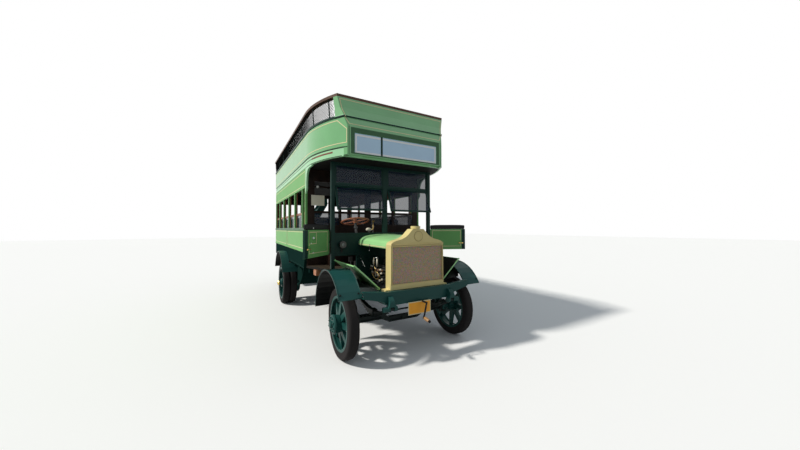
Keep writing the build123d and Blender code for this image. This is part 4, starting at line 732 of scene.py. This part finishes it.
# the driver's seat, then a seat and a back for each saloon bench
cushions = [((-425, 1138, 1465), (Y, X, Z), (120, 350, 45), 22, 10, driver_seams, (16, 96, 5))]
for row in range(bench_rows):
    y = bench_first_y + bench_pitch * row
    for x in (-bench_x, bench_x):
        seat, back = (x, y + 202, 1501), (x, y + 371, 1737)
        cushions.append((seat, (Y, X, Z), (198, 411, 39), 20, 8, bench_seams, (12, 48, 4)))
        cushions.append((back, (Z, X, -Y), (193, 411, 29), 16, 8, bench_seams, (12, 48, 4)))
pads("seat_leather", cushions, ROOT, "seat_cushions")
for side, body, spread, _ in doors:
    along, out = door_axes(side, spread)
    hand = body.removeprefix("cab_door_")
    roll = (on_door(side, spread, 355, 1751.5, 0), (out, along, Z), (19, 331, 38), 17, 7, [], (6, 40, 8))
    pads("door_roll_" + hand, [roll], body, "door_pad_" + hand)


# Bonnet: linings, studs, straps, stays and painted lines

bonnet_hinge_x, bonnet_hinge_z, bonnet_open = 500, 903, 47


def on_panel(side):
    """Takes a point on the upright bonnet side to where it rests open."""
    turn = radians(bonnet_open)

    def moved(x, y, z):
        """The point turned about the hinge, on this side of the bus."""
        dx, dz = x - bonnet_hinge_x, z - bonnet_hinge_z
        out = bonnet_hinge_x + dx * cos(turn) + dz * sin(turn)
        return side * out, y, bonnet_hinge_z - dx * sin(turn) + dz * cos(turn)
    return moved


for side, body in ((1, "bonnet_side_left"), (-1, "bonnet_side_right")):
    moved = on_panel(side)
    blocks(body + "_lining", [((495.5, 498.2), (-275, 531), (928, 1408))], satin, body, moved=moved)
    studs = []
    for y in (-255, 535):
        for z in (950, 1180, 1395):
            foot, tip = Vector(moved(503, y, z)), Vector(moved(513, y, z))
            studs.append((foot, tip - foot))
    domes(body + "_studs", studs, 6, 4, hood_green, body)
blocks("bonnet_straps", on_both([((449, 453), (182, 218), (1392, 1492))]), black, bevel=1)
studs = [((s * 453, 200, z), (s, 0, 0)) for s in (-1, 1) for z in (1405, 1478)]
domes("bonnet_strap_studs", studs, 8, 6, steel)
tubes("bonnet_stays", [[(s * 460, 584, 1306), (s * 460, 360, 1143)] for s in (-1, 1)], 5, steel, 8)
edge = open_line([(429, -285, 1474), (469, 590, 1486)], right_n)
ribbons("bonnet_lines", both_sides([edge]), 12, cream, 3.0)

# Radiator: beads around the core, a blank badge ring, and painted shade in the grooves beside them
shell_y, core_half, core_low, core_high, badge_z = -442, 411, 991, 1487, 1622


def badge_circle(radius, y):
    """Points on a circle around the radiator's badge."""
    turns = [radians(t) for t in range(0, 360, 12)]
    return [(radius * cos(t), y, badge_z + radius * sin(t)) for t in turns]


bead = [(x, shell_y, z) for x, z in (
    (-core_half, core_low), (core_half, core_low), (core_half, core_high), (-core_half, core_high),
)]
verts, faces = [], []
rings(verts, faces, badge_circle(58, shell_y - 2), 7, 8, True)
for a, b in zip(bead, bead[1:] + bead[:1]):
    rings(verts, faces, [a, b], 4, 8)
rings(verts, faces, [(x, shell_y, 1516) for x in (-core_half, core_half)], 4, 8)
mesh_piece("radiator_beads", verts, faces, tan, smooth=True)
grooves = [frame_line(badge_circle(radius, shell_y), plain_n) for radius in (69, 47)]
grooves += [open_line([(-415, shell_y, z), (415, shell_y, z)], plain_n) for z in (1500, 1527)]
grooves += [open_line([(x, shell_y, 984), (x, shell_y, 1490)], plain_n) for x in (-421, 421)]
ribbons("radiator_groove_shade", grooves, 6, tan_shade, 0.6)

# Engine fittings seen through the open right side
tubes("engine_pipes", [
    [(-300, 255, 1143), (-300, 255, 1269)], [(-300, 375, 1150), (-300, 375, 1240), (-290, 395, 1262)],
], 13, ivory, 12)
turned("engine_caps", [((-300, 255, 1269), (0, 0, 1)), ((-300, 160, 949), (-1, 0, 0))], [
    (0, 20), (10, 22), (16, 14), (26, 10),
], steel)
turned("engine_bosses", [
    ((-296, 356, 1033), (-1, 0, 0)), ((-296, 191, 1096), (-1, 0, 0)), ((-296, 459, 1091), (-1, 0, 0)),
], [(0, 22), (14, 22), (20, 15), (30, 14), (34, 8)], rust)
blocks("engine_brackets", [
    ((-306, -290), (300, 330), (990, 1120)), ((-304, -288), (410, 500), (1120, 1146)),
    ((-308, -290), (200, 300), (1010, 1040)),
], ivory, bevel=3)
tubes("engine_lines", [
    [(-306, 140, 1000), (-318, 200, 1060), (-316, 290, 1072), (-306, 340, 1120), (-300, 360, 1190)],
    [(-300, 110, 950), (-314, 180, 968), (-318, 300, 960), (-306, 420, 1010), (-300, 470, 1070)],
], 6, brass, 8)

# Castings held on stems from the cylinders and the carburettor
# columns: y, z, and where the stem meets the engine in y
castings = [
    (415, 1048, 415), (284, 1099, 284), (131, 1110, 118), (259, 1036, 259),
    (103, 1059, 103), (200, 991, 200), (84, 972, 84), (74, 1104, 74),
    (356, 1033, 356), (191, 1096, 191), (459, 1091, 435), (255, 1143, 255),
    (375, 1150, 375), (315, 1055, 315), (435, 1133, 435), (250, 1025, 250),
]
stems = [[(-100, inner, z), (-298, y, z)] for y, z, inner in castings]
# columns: outer y, inner z, outer z
for y, z_in, z_out in ((160, 949, 949), (140, 975, 1000), (112, 945, 950)):
    stems.append([(-190, 142, z_in), (-300, y, z_out)])
tubes("engine_stems", stems, 8, iron, 8)
loose = castings[:8]
for name, picked, finish in (("pale", loose[::2], ivory), ("brown", loose[1::2], rust)):
    turned("engine_castings_" + name, [((-296, y, z), (-1, 0, 0)) for y, z, _ in picked], [
        (0, 17), (9, 18), (15, 12), (24, 11), (26, 5),
    ], finish)

# Cab fittings
blocks("bulkhead_transom", [((-1118, 1118), (1298, 1308), (2445, 2475))], dark_wood, bevel=2)
turned("cab_lamp", [((-952, 1298, 2460), plain_n)], [(0, 24), (12, 26), (18, 20), (30, 16), (36, 6)], steel)
blocks("cab_notice", [((-1055, -830), (1303, 1307.5), (2132, 2313))], notice)
turned("horn_bulb", [((-275, 750, 1712), (1, 0, 0))], [
    (0, 8), (10, 22), (30, 32), (58, 34), (84, 26), (100, 12), (106, 6),
], ivory, sides=20)
horn_line = [(-172, 750, 1712), (-150, 751, 1718), (-143, 752, 1740), (-143, 754, 1830)]
tubes("horn_tube", [horn_line], 6, brass, 10)
horn_end = [((-143, 754, 1826), (0, 0, 1))]
turned("horn_mouth", horn_end, [(0, 6), (14, 8), (26, 16), (32, 24)], brass, sides=16)
lamp_face = [((-753, 512, 1482), plain_n)]
turned("dash_lamp_rim", lamp_face, [(0, 50), (2, 55), (6, 55), (9, 48), (7, 40)], dark_steel, sides=24)
turned("dash_lamp_glass", lamp_face, [(0, 36), (4, 34), (8, 22), (10, 4)], lens, sides=24)

# Number plate and crank grip
blocks("number_plate", [((-226, 132), (-537, -533), (591, 760))], cream, bevel=2)
blocks("number_plate_field", [((-214, 120), (-538.2, -536), (603, 748))], orange)
blocks("number_plate_holder", [(xs, (-533, -446), (700, 752)) for xs in ((-120, -96), (20, 44))], black)
turned("crank_grip", [((-50, -652, 564.5), (0, -120, -16))], [
    (0, 14), (6, 20), (50, 23), (100, 20), (112, 12),
], seat_oak)


# Mudguard beads and bolts

def guard_point(x, degrees_up):
    """A point on the arc of the front mudguards."""
    t = radians(degrees_up)
    return x, guard_centre[0] + guard_radius * cos(t), guard_centre[1] + guard_radius * sin(t)


guard_inner, guard_outer, guard_lip, guard_end, guard_steps = 841, 1127, 523, -2, 40
lip_angle = degrees(atan2(sqrt(guard_radius ** 2 - guard_lip ** 2), -guard_lip))
arc = [guard_end + (lip_angle - guard_end) * i / guard_steps for i in range(guard_steps + 1)]
beads = [[guard_point(s * x, a) for a in arc] for s in (-1, 1) for x in (guard_inner, guard_outer)]
beads += [[guard_point(s * x, lip_angle) for x in (guard_inner, guard_outer)] for s in (-1, 1)]
tubes("mudguard_beads", beads, 6, teal, 8)
spots = []
for a in (lip_angle - 6.5, 95, 15):
    out = (0, cos(radians(a)), sin(radians(a)))
    spots += [(guard_point(s * x, a), out) for s in (-1, 1) for x in (868, 1100)]
domes("mudguard_bolts", spots, 13, 9, under_black)

# Wheel bolts and hub caps
wheel_z, rear_axle_y, stud_x, stud_reach = 469, 3527, 1080, 88
for side, hand in ((1, "left"), (-1, "right")):
    front_name, rear_name = "front_wheel_" + hand, "rear_wheel_" + hand
    turns = [radians(45 * i + 22) for i in range(8)]
    studs = [(side * stud_x, stud_reach * cos(t), wheel_z + stud_reach * sin(t)) for t in turns]
    turned(front_name + "_nuts", [(stud, (side, 0, 0)) for stud in studs], [
        (0, 11), (11, 11), (13, 6), (20, 6), (21, 3),
    ], teal, front_name, 6)
    low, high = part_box(rear_name)
    face = high.x * 1000 + MOVE.x if side > 0 else -(low.x * 1000 + MOVE.x)
    turned(rear_name + "_cap", [((side * (face - 2), rear_axle_y, wheel_z), (side, 0, 0))], [
        (0, 58), (12, 58), (18, 50), (34, 46), (40, 36), (42, 12),
    ], brass, rear_name, 24)


# Stage, light and camera

def sky(strength):
    """Soft light for the object, and plain white for the camera and for what metal and glass show."""
    world = bpy.data.worlds.new("sky")
    bpy.context.scene.world = world
    world.use_nodes = True
    tree = world.node_tree
    tree.nodes.clear()
    soft = tree.nodes.new("ShaderNodeBackground")
    soft.inputs["Color"].default_value = (0.85, 0.93, 1.0, 1)
    soft.inputs["Strength"].default_value = strength
    plain = tree.nodes.new("ShaderNodeBackground")
    plain.inputs["Color"].default_value = (1, 1, 1, 1)
    plain.inputs["Strength"].default_value = 1.0
    mix = tree.nodes.new("ShaderNodeMixShader")
    out = tree.nodes.new("ShaderNodeOutputWorld")
    tree.links.new(seen_rays(tree), mix.inputs["Fac"])
    tree.links.new(soft.outputs["Background"], mix.inputs[1])
    tree.links.new(plain.outputs["Background"], mix.inputs[2])
    tree.links.new(mix.outputs["Shader"], out.inputs["Surface"])


def seen_rays(tree):
    """1 for rays from the camera, off a gloss or through glass."""
    path = tree.nodes.new("ShaderNodeLightPath")
    total = path.outputs["Is Camera Ray"]
    for key in ("Is Glossy Ray", "Is Transmission Ray"):
        more = tree.nodes.new("ShaderNodeMath")
        more.operation = "MAXIMUM"
        tree.links.new(total, more.inputs[0])
        tree.links.new(path.outputs[key], more.inputs[1])
        total = more.outputs["Value"]
    return total


def ground_finish(seen, bounced):
    """A matt floor that looks pale and throws less light back on the object."""
    m, tree, shader = new_material("ground", 0.95, specular=0.1)
    mix = tree.nodes.new("ShaderNodeMixRGB")
    mix.inputs["Color1"].default_value = (bounced, bounced, bounced, 1)
    mix.inputs["Color2"].default_value = (seen, seen, seen, 1)
    tree.links.new(seen_rays(tree), mix.inputs["Fac"])
    tree.links.new(mix.outputs["Color"], shader.inputs["Base Color"])
    return m


def sunlight(spot, power, spread, color):
    """A sun that shines from a spot towards the origin, with its spread in degrees."""
    light = bpy.data.lights.new("sun", "SUN")
    light.energy = power
    light.color = color
    light.angle = radians(spread)
    obj = bpy.data.objects.new("sun", light)
    obj.location = spot
    obj.rotation_euler = (-Vector(spot)).to_track_quat("-Z", "Y").to_euler()
    bpy.context.scene.collection.objects.link(obj)
    return obj


def pale_floor(half):
    """A square of ground, with its half width in metres."""
    ground = bpy.data.meshes.new("ground")
    corners = [(-half, -half, 0), (half, -half, 0), (half, half, 0), (-half, half, 0)]
    ground.from_pydata(corners, [], [(0, 1, 2, 3)])
    ground.materials.append(ground_finish(0.95, 0.30))
    floor = bpy.data.objects.new("ground", ground)
    bpy.context.scene.collection.objects.link(floor)
    return floor


sky(0.38)
floor = pale_floor(60)
sun = sunlight((-7.2, 2.0, 6.7), 3.1, 4.0, (1, 0.97, 0.90))

# The camera that was fitted to the photo, with its focal length and middle in the photo's pixels
photo_width, photo_height, focal_pixels, middle_x, middle_y = 800, 450, 287.132, 403.844, 222.523
view = bpy.data.cameras.new("photo_view")
view.sensor_width = 36
view.lens = focal_pixels * view.sensor_width / photo_width
view.shift_x = -(middle_x - photo_width / 2) / photo_width
view.shift_y = (middle_y - photo_height / 2) / photo_width
view.clip_end = 200
eye = bpy.data.objects.new("photo_view", view)
eye.location = place((-2183, -3760, 1733))
yaw, pitch, roll = radians(30.435), radians(1.132), radians(-0.188)
eye.matrix_world = (
    Matrix.Translation(eye.location) @ Matrix.Rotation(-yaw, 4, "Z")
    @ Matrix.Rotation(pi / 2 + pitch, 4, "X") @ Matrix.Rotation(roll, 4, "Z")
)
bpy.context.scene.collection.objects.link(eye)
bpy.context.scene.camera = eye
bpy.context.scene.view_settings.view_transform = "Standard"
